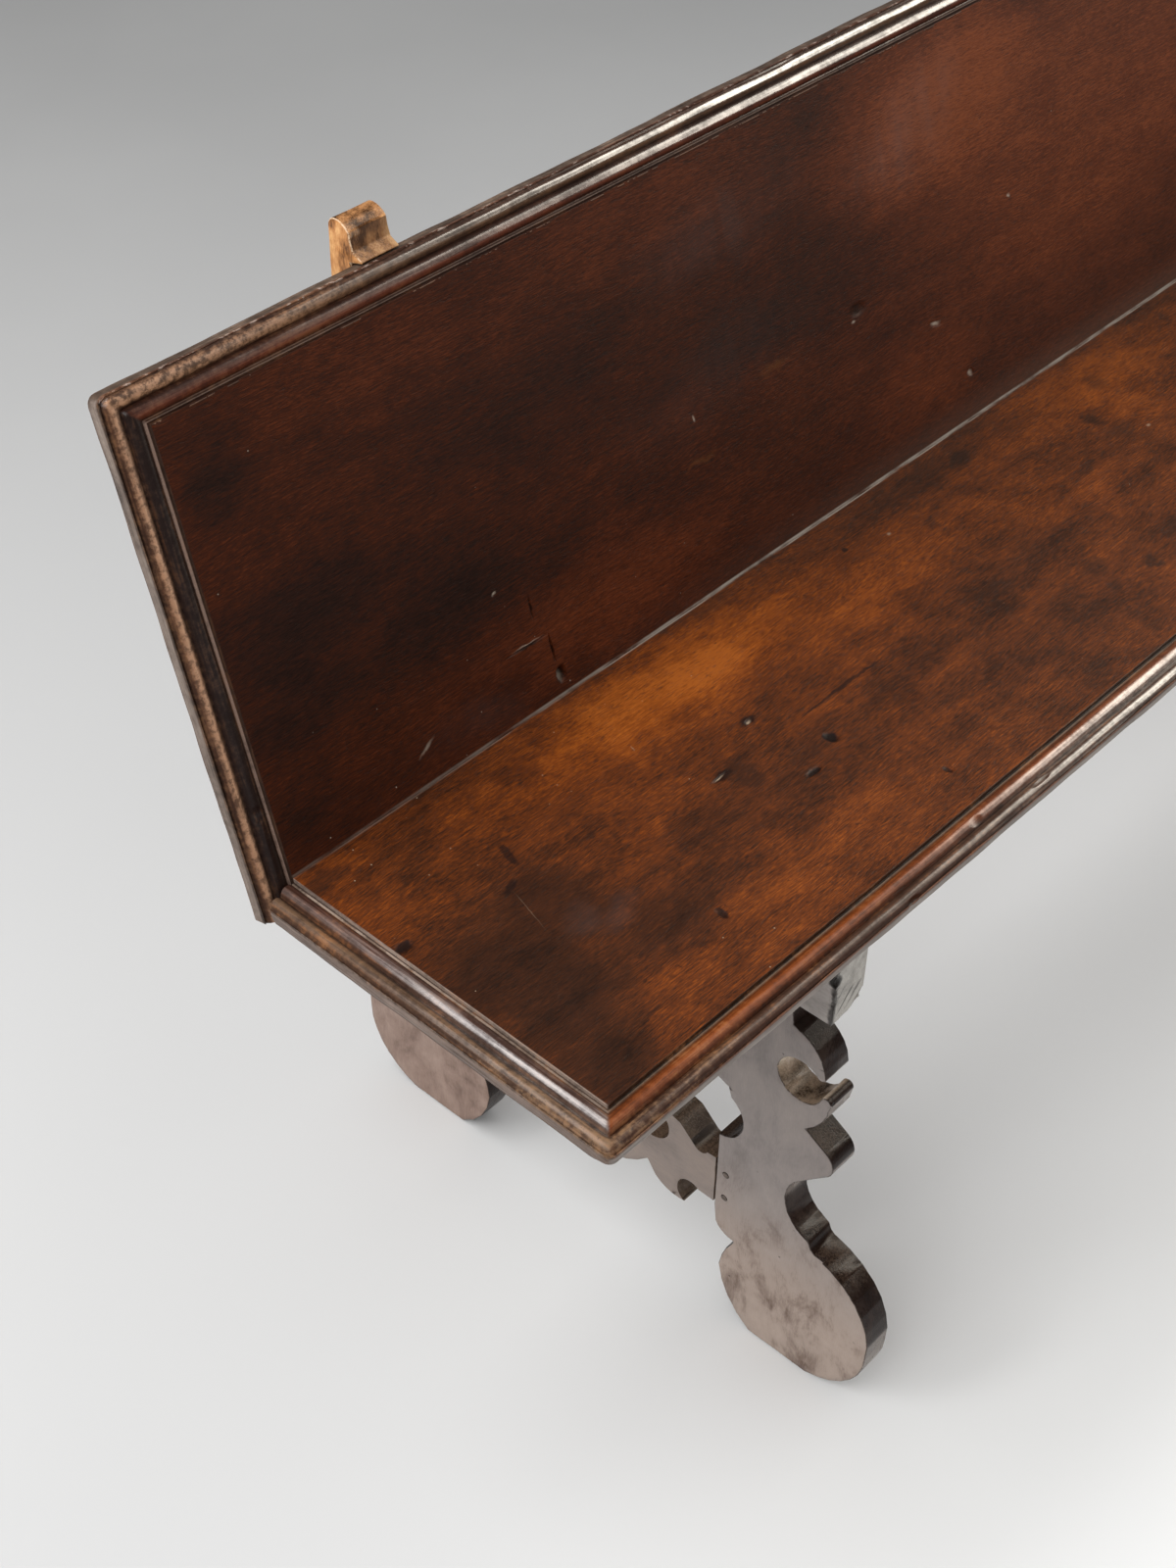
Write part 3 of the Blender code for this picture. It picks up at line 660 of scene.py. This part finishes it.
def seat_field(s, place, wood):
    """Warm and dark patches of wood, stains, marks, a painted sheen, dust and nicks."""
    strands, mottle, pores = wood
    x, y, _ = s.parts(place)
    ragged = wandering(s, place, 22, 0.055)
    dark = clouds(s, ragged, SEAT_DARK, hard=0.25)
    warm = clouds(s, ragged, SEAT_WARM)
    calm = s.range(dark, 0.2, 0.9, 1.0, 0.5)
    figure = s.times(s.add(strands, s.times(mottle, 0.78)), calm)
    tone = s.add(0.43, figure, s.times(warm, 0.20), s.times(dark, -0.29))
    colour = s.ramp(tone, *SEAT_TONES)
    colour = s.mix(s.times(pores, 0.45), colour, SEAT_PORES)
    spots = s.range(s.noise(place, 140, 3.0, 0.6), 0.67, 0.75)
    colour = s.mix(s.times(spots, 0.6), colour, SEAT_SPOTS)
    stains = clouds(s, wandering(s, place, 45, 0.030), SEAT_STAINS, hard=0.3)
    colour = s.mix(s.times(stains, 0.75), colour, SEAT_STAIN)
    marks = clouds(s, wandering(s, place, 110, 0.008), SEAT_MARKS, hard=0.5)
    colour = s.mix(marks, colour, SEAT_MARK)
    # Painted sheen: a pale grey veil in two patches at the front left
    colour = s.mix(s.times(clouds(s, ragged, SEAT_SHEEN_PATCHES), 0.35), colour, SEAT_PAINTED_SHEEN)
    dust = s.times(specks(s, place, 105, 0.075, 0.30), s.range(y, -0.03, 0.09), s.range(x, -0.25, -0.55))
    dust = s.most(dust, s.times(specks(s, place, 70, 0.050, 0.10), 0.8))
    dust = s.most(dust, clouds(s, wandering(s, place, 160, 0.003), SEAT_NICKS))
    colour = s.mix(s.times(dust, 0.85), colour, SEAT_DUST)
    return s.mix(joint_dust(s, place, s.minus(JUNCTION_Y, y)), colour, JOINT_DUST)


def seat_band(s, place, edge, wood, near_corner, worn):
    """The seat's moulding with bare wear, pits, a dusty groove and a painted highlight along the end's
    torus, and its outer faces, the front one grey with a painted sheen.
    """
    _, mottle, _ = wood
    y = s.parts(place)[1]
    band = edge.colours(SEAT_FRONT_BAND, SEAT_END_BAND, SEAT_GRIME, 0.32)
    band = s.mix(worn, band, SEAT_BARE)
    pits = s.range(s.noise(place, 260, 3.0, 0.7), 0.58, 0.66)
    pits = s.times(pits, s.add(0.25, s.times(near_corner, 0.30)), edge.bead)
    band = s.mix(pits, band, SEAT_PITS)
    dusty = s.range(s.noise(place, 55, 4.0, 0.65), 0.44, 0.56)
    dusty = s.times(dusty, s.range(y, -0.09, 0.02, 0.40, 1.0), edge.band(0.5, 1.0, 1.9, 2.5), edge.end)
    band = s.mix(dusty, band, SEAT_GROOVE_DUST)
    # Painted highlight: a pale streaky band along the top of the end's torus, stronger towards the front
    crest = s.times(edge.band(4.0, 6.5, 9.0, 12.0), edge.end, s.range(y, 0.07, -0.04, 0.25, 1.0))
    band = s.mix(s.times(crest, s.range(edge.strokes, 0.38, 0.64, 0.0, 0.45)), band, SEAT_PAINTED_HIGHLIGHT)
    streaky = s.add(0.5, s.times(mottle, 0.9), s.times(s.centred(edge.strokes), 0.7))
    # The front face's grey ramp is a painted sheen
    face = s.mix(edge.end, s.ramp(streaky, *SEAT_FRONT_FACE_SHEEN), s.ramp(streaky, *SEAT_END_FACE))
    return s.mix(edge.face, band, face)


def seat_wood():
    s = Shader("worn_seat")
    place = s.place()
    x, y, z = s.parts(place)
    wood = grain(s, place)
    edge = Moulding(s, place, s.minus(FIELD_FRONT, y), s.minus(SEAT_TOP, z))
    near_corner = s.times(s.range(x, -0.70, -0.81), s.range(y, -0.03, -0.16))
    worn = edge.wear(s.add(0.16, s.times(near_corner, 0.45)), near_corner)
    band = seat_band(s, place, edge, wood, near_corner, worn)
    front_rub = s.most(s.range(x, -0.60, -0.25, 0.06, 0.8), s.times(edge.bead, 0.28))
    end_rub = s.times(s.range(edge.bead, 0.0, 1.0, 1.0, 0.25), s.range(y, 0.03, -0.10, 0.15, 1.0))
    polish = edge.polish(edge.band(2.4, 3.6, 22.6, 23.8), worn, front_rub, end_rub)
    return edge.finish(seat_field(s, place, wood), band, wood, worn, polish,
                       uneven=0.25, specular=0.13, coat_roughness=0.32)


# Patches as centre, radii, angle and amount, in millimetres along and up the back
BACK_DARK = (((-760, 150), (150, 95), 0.0, 1.0), ((-640, 120), (160, 60), 0.0, 0.9),
             ((-540, 215), (220, 60), 0.05, 0.5), ((-790, 270), (50, 60), 0.0, 0.8),
             ((-300, 190), (200, 60), 0.0, 0.4), ((-800, 50), (60, 60), 0.0, 0.6))
BACK_WARM = (((-640, 300), (190, 52), 0.0, 0.2), ((-400, 305), (220, 44), 0.0, 0.35),
             ((-480, 45), (180, 60), 0.0, 0.4), ((-250, 80), (200, 90), 0.0, 0.15),
             ((-40, 270), (240, 110), 0.0, 1.05), ((150, 200), (420, 260), 0.0, 0.75),
             ((-110, 60), (130, 60), 0.0, 0.55))
# Patches of a painted sheen on the back, strongest high on the board's middle
BACK_SHEEN_PATCHES = (((-110, 260), (110, 60), 0.3, 0.9), ((-330, 270), (120, 50), 0.0, 0.5),
             ((-350, 160), (160, 50), 0.0, 0.3), ((-640, 20), (70, 30), 0.0, 0.3))
BACK_FLECKS = (((-385, 106), (24, 4.5), 0.0, 0.8), ((-292, 141), (26, 6), 0.0, 0.8))
BACK_HOLES = (((-562, 16), (7, 10), 0.0, 1.0), ((-565, 38), (2.6, 15), 0.06, 0.9),
              ((-576, 77), (2, 14), 0.0, 0.8), ((-586, 51), (20, 2), -0.03, 0.9),
              ((-190, 146), (13, 7.5), 0.0, 0.7))
BACK_NICKS = (((-97.9, 97.4), (8.5, 2.4), -0.3, 1.0), ((-61.4, 39.5), (5, 3.6), -0.3, 0.8),
              ((-196.9, 138), (3.5, 1.8), 0.0, 0.8), ((-385.9, 138.9), (1.6, 4), 0.2, 0.8),
              ((14.5, 164.6), (3, 2.2), 0.0, 0.9), ((-605, 102.6), (2.6, 1.4), 0.3, 0.9),
              ((-692.9, 27), (12, 2.2), 0.5, 0.5), ((-586, 53), (19, 0.9), -0.03, 0.7),
              ((-563, 15), (4.5, 6), 0.4, 0.5), ((-827, 56), (3, 3), 0.0, 0.9))

# Colours of the back's field from dark to bright, and of its outer faces
BACK_TONES = ((0.05, (0.0090, 0.0042, 0.0030)), (0.27, (0.0220, 0.0076, 0.0046)),
              (0.50, (0.0500, 0.0112, 0.0036)), (0.75, (0.1100, 0.0240, 0.0065)),
              (1.00, (0.2100, 0.0500, 0.0130)))
BACK_PORES = (0.009, 0.003, 0.002)
# Colour of a painted sheen
BACK_PAINTED_SHEEN = (0.150, 0.098, 0.088)
BACK_FLECK = (0.130, 0.042, 0.010)
BACK_HOLE = (0.004, 0.003, 0.002)
BACK_DUST = (0.45, 0.37, 0.29)
BACK_LOW = (0.150, 0.085, 0.060)
BACK_GRIME = (0.016, 0.008, 0.006)
BACK_BARE = (0.310, 0.160, 0.082)
BACK_SCUFF = (0.080, 0.040, 0.024)
BACK_GOLD = (0.430, 0.230, 0.130)
BACK_FLAKE = (0.420, 0.330, 0.280)
BACK_TOP_FACE = ((0.36, (0.035, 0.022, 0.016)), (0.50, (0.095, 0.064, 0.047)),
                 (0.64, (0.230, 0.155, 0.110)))
BACK_END_FACE = ((0.36, (0.060, 0.044, 0.036)), (0.50, (0.170, 0.130, 0.108)),
                 (0.64, (0.270, 0.215, 0.180)))

# Colours across the back's mouldings, in millimetres out from the field
BACK_END_BAND = (
    (-0.9, (0.014, 0.005, 0.004)), (-0.1, (0.050, 0.028, 0.020)), (0.4, (0.300, 0.205, 0.165)),
    (1.9, (0.250, 0.165, 0.128)), (2.6, (0.040, 0.020, 0.013)), (4.5, (0.020, 0.009, 0.006)),
    (7.5, (0.012, 0.005, 0.004)), (10.5, (0.014, 0.007, 0.006)), (12.8, (0.022, 0.012, 0.010)),
    (14.6, (0.120, 0.066, 0.042)), (17.2, (0.540, 0.310, 0.190)), (19.4, (0.340, 0.180, 0.105)),
    (21.0, (0.070, 0.030, 0.016)), (23.4, (0.024, 0.012, 0.008)), (24.7, (0.060, 0.040, 0.030)))
BACK_TOP_BAND = (
    (-1.6, (0.050, 0.015, 0.005)), (-1.15, (0.260, 0.150, 0.105)), (-0.7, (0.030, 0.009, 0.004)),
    (-0.1, (0.026, 0.009, 0.005)), (0.4, (0.260, 0.172, 0.132)), (0.9, (0.070, 0.036, 0.024)),
    (1.5, (0.034, 0.013, 0.008)), (2.1, (0.130, 0.070, 0.048)), (2.7, (0.034, 0.010, 0.004)),
    (5.0, (0.088, 0.020, 0.008)), (6.8, (0.120, 0.029, 0.012)), (9.0, (0.080, 0.019, 0.008)),
    (12.0, (0.040, 0.010, 0.004)), (13.4, (0.030, 0.009, 0.004)), (15.5, (0.075, 0.034, 0.016)),
    (17.5, (0.130, 0.066, 0.034)), (20.4, (0.060, 0.027, 0.015)), (22.6, (0.060, 0.027, 0.017)),
    (23.8, (0.170, 0.085, 0.057)), (24.7, (0.070, 0.026, 0.014)))


def back_field(s, board, wood):
    """Dark red wood with warm patches, a painted sheen, holes, dust and nicks."""
    strands, mottle, pores = wood
    x, v, _ = s.parts(board)
    ragged = wandering(s, board, 14, 0.06)
    dark = clouds(s, ragged, BACK_DARK)
    warm = clouds(s, ragged, BACK_WARM, hard=0.2)
    figure = s.add(s.times(strands, 0.8), s.times(mottle, 0.35))
    tone = s.add(0.46, figure, s.times(warm, 0.44), s.times(dark, -0.24))
    colour = s.ramp(tone, *BACK_TONES)
    colour = s.mix(s.times(pores, 0.35), colour, BACK_PORES)
    # Painted sheen: a pale veil streaked up the board in patches, strongest high on its middle
    painted_sheen = clouds(s, wandering(s, board, 8, 0.10), BACK_SHEEN_PATCHES)
    painted_sheen = s.times(painted_sheen, s.range(s.streaks(board, (60, 5, 5), 3.0), 0.30, 0.70, 0.4, 1.0), 0.28)
    colour = s.mix(painted_sheen, colour, BACK_PAINTED_SHEEN)
    flecks = clouds(s, wandering(s, board, 70, 0.020), BACK_FLECKS)
    colour = s.mix(s.times(flecks, 0.6), colour, BACK_FLECK)
    holes = clouds(s, wandering(s, board, 120, 0.006), BACK_HOLES)
    colour = s.mix(holes, colour, BACK_HOLE)
    dust = s.times(specks(s, board, 95, 0.065, 0.25), s.range(v, 0.12, 0.0), s.range(x, -0.30, -0.55))
    dust = s.most(dust, s.times(specks(s, board, 60, 0.040, 0.12), 0.7))
    dust = s.most(dust, clouds(s, wandering(s, board, 160, 0.004), BACK_NICKS))
    colour = s.mix(s.times(dust, 0.8), colour, BACK_DUST)
    low = s.times(s.range(v, 0.030, 0.0), s.range(x, -0.60, 0.10, 0.0, 0.30))
    colour = s.mix(low, colour, BACK_LOW)
    return s.mix(joint_dust(s, board, v), colour, JOINT_DUST)


def back_band(s, x, edge, worn):
    """The back's moulding with bare wear, scuffs on its ends, gold at its top left and a flaked lip."""
    band = edge.colours(BACK_TOP_BAND, BACK_END_BAND, BACK_GRIME, 0.08)
    band = s.mix(worn, band, BACK_BARE)
    scuffed = s.times(edge.end, edge.band(13.5, 15.0, 19.5, 21.5))
    band = s.mix(s.times(scuffed, s.range(edge.flecks, 0.53, 0.38, 0.0, 0.60)), band, BACK_SCUFF)
    golden = s.times(s.range(x, -0.60, -0.82), edge.side, edge.band(14.0, 16.0, 21.0, 23.0))
    band = s.mix(s.times(golden, s.range(edge.flecks, 0.40, 0.62, 0.10, 0.80)), band, BACK_GOLD)
    flaked = s.times(edge.band(23.0, 23.5, 24.8, 25.4), s.range(edge.flecks, 0.56, 0.62), edge.side)
    band = s.mix(s.times(flaked, 0.8), band, BACK_FLAKE)
    streaky = edge.blotches(0.4, 0.25, 0.35)
    face = s.mix(edge.end, s.ramp(streaky, *BACK_TOP_FACE), s.ramp(streaky, *BACK_END_FACE))
    return s.mix(edge.face, band, face)


def back_wood():
    s = Shader("worn_back")
    board = s.shift(s.place(), location=(0, -JUNCTION_Y, -SEAT_TOP))
    board = s.shift(s.shift(board, rotation=(BACK_LEAN, 0, 0)), rotation=(-pi / 2, 0, 0))
    x, v, depth = s.parts(board)
    wood = grain(s, board)
    ragged = s.range(s.noise(board, 60, 4.0, 0.7), 0.50, 0.56, 0.0, 0.0018)
    edge = Moulding(s, board, s.minus(v, BACK_HEIGHT - MOULDING_WIDTH), s.minus(0.0, depth), ragged)
    to_left = s.range(x, -0.50, -0.78)
    worn = edge.wear(s.times(to_left, s.range(edge.end, 0.0, 1.0, 0.60, 0.20)), to_left)
    band = back_band(s, x, edge, worn)
    top_rub = s.times(s.range(x, -0.60, -0.10, 0.60, 1.0), s.range(edge.bead, 0.0, 1.0, 0.70, 1.0))
    polish = edge.polish(edge.band(1.4, 3.0, 22.6, 23.8), worn, top_rub, 0.35)
    return edge.finish(back_field(s, board, wood), band, wood, worn, polish,
                       uneven=0.22, specular=0.06, coat_roughness=0.25)


# Low, middle and high colours of the trestles' faces and of their sawn sides
PEG_COLOURS = ((0.020, 0.014, 0.011), (0.085, 0.064, 0.052), (0.190, 0.150, 0.125))
FACE_COLOURS = {"leg": ((0.150, 0.128, 0.119), (0.238, 0.206, 0.193), (0.325, 0.277, 0.250)),
                "stretcher": ((0.140, 0.112, 0.098), (0.230, 0.186, 0.164), (0.310, 0.245, 0.205)),
                "batten": ((0.160, 0.140, 0.128), (0.340, 0.305, 0.285), (0.440, 0.400, 0.370)),
                "post": ((0.100, 0.036, 0.011), (0.520, 0.230, 0.080), (0.820, 0.480, 0.210)),
                "peg": PEG_COLOURS}
SIDE_COLOURS = {"leg": ((0.005, 0.003, 0.002), (0.014, 0.006, 0.004), (0.050, 0.030, 0.021)),
                "stretcher": ((0.020, 0.011, 0.008), (0.090, 0.060, 0.042), (0.190, 0.140, 0.105)),
                "batten": ((0.060, 0.052, 0.045), (0.360, 0.335, 0.302), (0.470, 0.443, 0.405)),
                "post": ((0.050, 0.019, 0.006), (0.440, 0.202, 0.078), (0.800, 0.460, 0.210)),
                "peg": PEG_COLOURS}
FACE_STOPS = (0.20, 0.50, 0.85)
SIDE_STOPS = (0.25, 0.52, 0.80)
RIM_COLOURS = {"leg": (0.030, 0.020, 0.016), "stretcher": (0.060, 0.040, 0.030),
               "batten": (0.030, 0.024, 0.020), "post": (0.800, 0.560, 0.360), "peg": PEG_COLOURS[0]}
FRONT_FOOT = ((0.20, (0.115, 0.070, 0.051)), (0.50, (0.335, 0.262, 0.220)), (0.85, (0.410, 0.325, 0.275)))
REAR_FOOT = ((0.20, (0.090, 0.048, 0.035)), (0.50, (0.228, 0.146, 0.114)), (0.85, (0.350, 0.245, 0.200)))
# The grey is a painted sheen of the pale floor on the legs' down-turned sides
LEG_PAINTED_SHEEN = ((0.20, (0.090, 0.070, 0.060)), (0.52, (0.215, 0.180, 0.160)), (0.80, (0.300, 0.255, 0.225)))
# Dust in a leg's eye, with a painted highlight where it is lighter towards the top
EYE_DUST_AND_HIGHLIGHT = ((0.30, (0.030, 0.018, 0.011)), (0.42, (0.340, 0.252, 0.180)), (0.53, (0.660, 0.560, 0.455)))
TRESTLE_DUST = (0.240, 0.150, 0.095)
POST_FRONT = (0.070, 0.032, 0.015)
BATTEN_BREAK = (0.012, 0.009, 0.007)
WORM_HOLE = (0.006, 0.004, 0.003)

# How each kind of trestle wood runs, and how much contrast, dust and worm it has
ALONG_Y = (0, 0, -pi / 2)
ALONG_Z = (0, pi / 2, 0)
GRAIN_TURNS = {"leg": ALONG_Z, "stretcher": ALONG_Y, "batten": ALONG_Y, "post": ALONG_Z, "peg": ALONG_Y}
CONTRAST = {"leg": 1.2, "stretcher": 1.2, "batten": 1.2, "post": 2.6, "peg": 1.5}
DUST_SHARE = {"leg": 0.22, "stretcher": 0.6, "batten": 0.0, "post": 0.0, "peg": 0.0}
HOLE_SHARE = {"leg": 0.25, "stretcher": 0.25, "batten": 0.8, "post": 0.0, "peg": 0.0}

# Eye of a leg, and the notch in a batten's front edge
LEG_EYE_Y, LEG_EYE_Z = 0.184, 0.321
EYE_OUTER, EYE_INNER = 0.0235, 0.0205
NOTCH_DOWN = 0.019


def leg_feet(s, place, tone, mottle, face):
    """A leg's face, browner towards its foot, and redder there on the rear legs."""
    _, y, z = s.parts(place)
    tone = s.add(tone, s.times(mottle, 0.4))
    low = s.range(s.add(z, s.times(mottle, 0.12)), 0.20, 0.06)
    face = s.mix(low, face, s.ramp(tone, *FRONT_FOOT))
    rear = s.times(low, s.range(y, 0.0, 0.1), 0.8)
    return s.mix(rear, face, s.ramp(tone, *REAR_FOOT))


def leg_sides(s, place, normal, tone, grit, sides):
    """A leg's sawn sides: dark scrolls, grey with a painted sheen of the floor where they turn down and on
    the prongs, a dusty eye lighter towards its top by a painted highlight.
    """
    _, y, z = s.parts(place)
    _, ny, nz = s.parts(normal)
    outer = s.range(s.times(ny, s.math("SIGN", y)), 0.2, 0.6)
    prong = s.times(s.range(z, 0.255, 0.265), s.range(z, 0.312, 0.302))
    prong = s.times(prong, s.range(s.size(y), 0.215, 0.225), 0.45)
    # Painted sheen: grey on outer sides that turn down to the floor, and on the prongs
    sheen_turned_down = s.times(s.range(s.minus(nz, prong), 0.14, -0.14), outer)
    sheen_turned_down = s.times(sheen_turned_down, s.range(z, 0.37, 0.31, 0.35, 1.0))
    sides = s.mix(sheen_turned_down, sides, s.ramp(tone, *LEG_PAINTED_SHEEN))
    # Painted highlight: the eye lighter towards its top, mixed with tone and dust
    lit = s.range(z, LEG_EYE_Z - 0.016, LEG_EYE_Z + 0.012, 0.05, 0.25)
    lit = s.add(s.times(tone, 0.40), s.times(grit, 0.20), lit)
    from_eye = s.add(s.square(s.minus(s.size(y), LEG_EYE_Y)), s.square(s.minus(z, LEG_EYE_Z)))
    return s.mix(s.range(from_eye, EYE_OUTER ** 2, EYE_INNER ** 2), sides, s.ramp(lit, *EYE_DUST_AND_HIGHLIGHT))


def batten_rings(s, place, ny):
    """Darker growth rings on a batten's end grain."""
    rings = s.streaks(s.shift(place, rotation=(0, pi / 4, 0)), (25, 25, 420), 3.0)
    return s.times(s.range(rings, 0.44, 0.30), s.range(s.size(ny), 0.6, 0.9), -0.30)


def batten_edge(s, place):
    """Dark broken wood down the outer edge of a batten's front end, and in the notch at its top."""
    low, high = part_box("right_seat_batten")
    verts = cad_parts["right_seat_batten"].data.vertices
    corner = max(vert.co.x for vert in verts if vert.co.y < low.y + BATTEN_END)
    ragged = s.vector_math("ABSOLUTE", wandering(s, place, 150, 0.006), (0, 0, 0))
    from_notch = s.vector_math("SUBTRACT", ragged, (corner, -low.y, high.z - NOTCH_DOWN))
    from_edge = s.vector_math("MULTIPLY", from_notch, (1, 1, 0))
    edge = s.range(s.length(from_edge), 0.0045, 0.0020)
    notch = s.range(s.length(from_notch), 0.0085, 0.0055)
    return s.times(s.most(s.times(edge, 0.85), notch), s.range(s.parts(place)[1], 0.0, -0.05))


def trestle_wood(kind):
    """Wood of a kind of trestle piece, which colours flat faces and sawn sides apart, made once."""
    known = bpy.data.materials.get("worn_" + kind)
    if known:
        return known
    s = Shader("worn_" + kind)
    place, normal = s.place(), s.normal()
    nx, ny, nz = s.parts(normal)
    strands, mottle, _ = grain(s, s.shift(place, rotation=GRAIN_TURNS[kind]))
    flat = s.range(s.size(nx), 0.75, 0.95)
    tone = s.add(s.times(strands, 0.20 * CONTRAST[kind]), s.times(mottle, 0.8 * CONTRAST[kind]), 0.5)
    if kind == "batten":
        tone = s.add(tone, batten_rings(s, place, ny))
    face = s.ramp(tone, *zip(FACE_STOPS, FACE_COLOURS[kind]))
    side = s.ramp(tone, *zip(SIDE_STOPS, SIDE_COLOURS[kind]))
    grit = s.add(s.times(s.noise(place, 45, 3.0), 0.35), s.times(s.noise(place, 620, 3.0, 0.7), 0.65))
    dust = s.times(s.range(grit, 0.40, 0.64), s.range(nz, 0.55, 0.95), DUST_SHARE[kind])
    dust = s.times(dust, s.range(s.parts(place)[2], 0.30, 0.35, 1.0, 0.05))
    side = s.mix(dust, side, TRESTLE_DUST)
    if kind == "post":
        side = s.mix(s.range(nz, 0.90, 0.0, 0.10, 0.65), side, POST_FRONT)
    if kind == "leg":
        face = leg_feet(s, place, tone, mottle, face)
        side = leg_sides(s, place, normal, tone, grit, side)
    colour = s.mix(flat, side, face)
    rim = s.times(s.range(s.size(nx), 0.45, 0.60), s.range(s.size(nx), 0.93, 0.85))
    colour = s.mix(s.times(rim, s.range(grit, 0.40, 0.52), 0.8), colour, RIM_COLOURS[kind])
    if kind == "batten":
        colour = s.mix(batten_edge(s, place), colour, BATTEN_BREAK)
    wormy = s.range(s.noise(place, 14, 2.0), 0.46, 0.56)
    holes = s.times(specks(s, place, 60, 0.09, HOLE_SHARE[kind]), wormy)
    colour = s.mix(s.times(holes, 0.9), colour, WORM_HOLE)
    roughness = s.add(0.26, s.times(mottle, 0.3), s.times(flat, 0.18), s.times(dust, 0.4))
    height = s.add(s.times(strands, 0.4), mottle, s.times(holes, -2.5), s.times(dust, 0.6))
    return s.set(colour=colour, roughness=roughness, normal=s.bump(height, 0.0004), specular=0.15)


# Stage

FLOOR_REACH = 8.0
FLOOR_LEFT = (0.59, 0.59, 0.59)
FLOOR_RIGHT = (0.89, 0.89, 0.885)
FLOOR_FAR = (0.33, 0.33, 0.33)
FLOOR_CLOUD = (0.70, 0.70, 0.69)
WINDOW_COLOUR = (1.0, 0.94, 0.82)
WORLD_COLOUR = (1.0, 1.0, 0.995, 1)
WORLD_STRENGTH = 0.74
WORLD_IN_GLOSS = 0.06


def make_floor():
    """A plain pale floor that darkens to the left and with distance, as the photograph's does."""
    floor = bpy.data.objects.new("floor", bpy.data.meshes.new("floor"))
    plane = bmesh.new()
    bmesh.ops.create_grid(plane, x_segments=1, y_segments=1, size=FLOOR_REACH)
    plane.to_mesh(floor.data)
    plane.free()
    bpy.context.scene.collection.objects.link(floor)
    s = Shader("floor")
    place = s.place()
    across, away, _ = s.parts(s.shift(place, rotation=(0, 0, CAMERA_AZIMUTH)))
    # Painted shade: the colour darkens to the left and with distance
    near = s.mix(s.range(across, -0.9, 0.3), FLOOR_LEFT, FLOOR_RIGHT)
    colour = s.mix(s.range(away, -0.5, 2.4), near, FLOOR_FAR)
    cloudy = s.range(s.noise(place, 1.6, 5.0), 0.35, 0.7)
    colour = s.mix(s.times(cloudy, 0.06), colour, FLOOR_CLOUD)
    floor.data.materials.append(s.set(colour=colour, roughness=0.55, specular=0.25))


def area_light(name, place, target, size, power, along=X_AXIS, colour=(1, 1, 1), diffuse=True):
    """A soft light, its first size along a direction. Without diffuse it shows only in gloss."""
    lamp = bpy.data.lights.new(name, "AREA")
    lamp.shape = "RECTANGLE"
    lamp.size, lamp.size_y = size
    lamp.energy = power
    lamp.color = colour
    backward = (Vector(place) - Vector(target)).normalized()
    along = (along - backward * backward.dot(along)).normalized()
    turn = Matrix((along, backward.cross(along), backward)).transposed()
    item = bpy.data.objects.new(name, lamp)
    item.matrix_world = Matrix.Translation(place) @ turn.to_4x4()
    item.visible_diffuse = diffuse
    bpy.context.scene.collection.objects.link(item)


def make_lights():
    area_light("key", (-2.6, -0.5, 2.7), (-0.6, -0.1, 0.2), (2.0, 2.0), 30)
    area_light("left_back", (-2.1, 1.25, 2.7), (-0.8, -0.1, 0.45), (3.4, 0.75), 60,
               along=Vector((0.97, -0.23, 0)))
    area_light("window", (1.7, -0.95, 2.10), (-0.3, 0.0, 0.6), (3.0, 0.9), 120,
               along=Vector((0, 0.62, 0.78)), colour=WINDOW_COLOUR, diffuse=False)


def make_world():
    """An even pale light all round, which hardly shows in gloss."""
    world = bpy.data.worlds.new("studio")
    world.use_nodes = True
    nodes, links = world.node_tree.nodes, world.node_tree.links
    path = nodes.new("ShaderNodeLightPath")
    shade = nodes.new("ShaderNodeMix")
    shade.data_type = "FLOAT"
    shade.inputs["A"].default_value = WORLD_STRENGTH
    shade.inputs["B"].default_value = WORLD_IN_GLOSS
    links.new(path.outputs["Is Glossy Ray"], shade.inputs["Factor"])
    links.new(shade.outputs["Result"], nodes["Background"].inputs["Strength"])
    nodes["Background"].inputs["Color"].default_value = WORLD_COLOUR
    bpy.context.scene.world = world


def make_camera():
    lens = bpy.data.cameras.new("camera")
    lens.sensor_fit = "VERTICAL"
    lens.sensor_height = SENSOR_HEIGHT
    lens.lens = SENSOR_HEIGHT * PHOTO_FOCAL_PIXELS / PHOTO_HEIGHT_PIXELS
    camera = bpy.data.objects.new("camera", lens)
    camera.matrix_world = (Matrix.Translation(CAMERA_PLACE)
                           @ Matrix.Rotation(-CAMERA_AZIMUTH, 4, "Z")
                           @ Matrix.Rotation(pi / 2 - CAMERA_PITCH, 4, "X")
                           @ Matrix.Rotation(CAMERA_ROLL, 4, "Z"))
    bpy.context.scene.collection.objects.link(camera)
    bpy.context.scene.camera = camera


make_boards()
make_trestles()
finish_pegs()
make_floor()
make_lights()
make_world()
make_camera()
bpy.context.scene.view_settings.view_transform = "Standard"
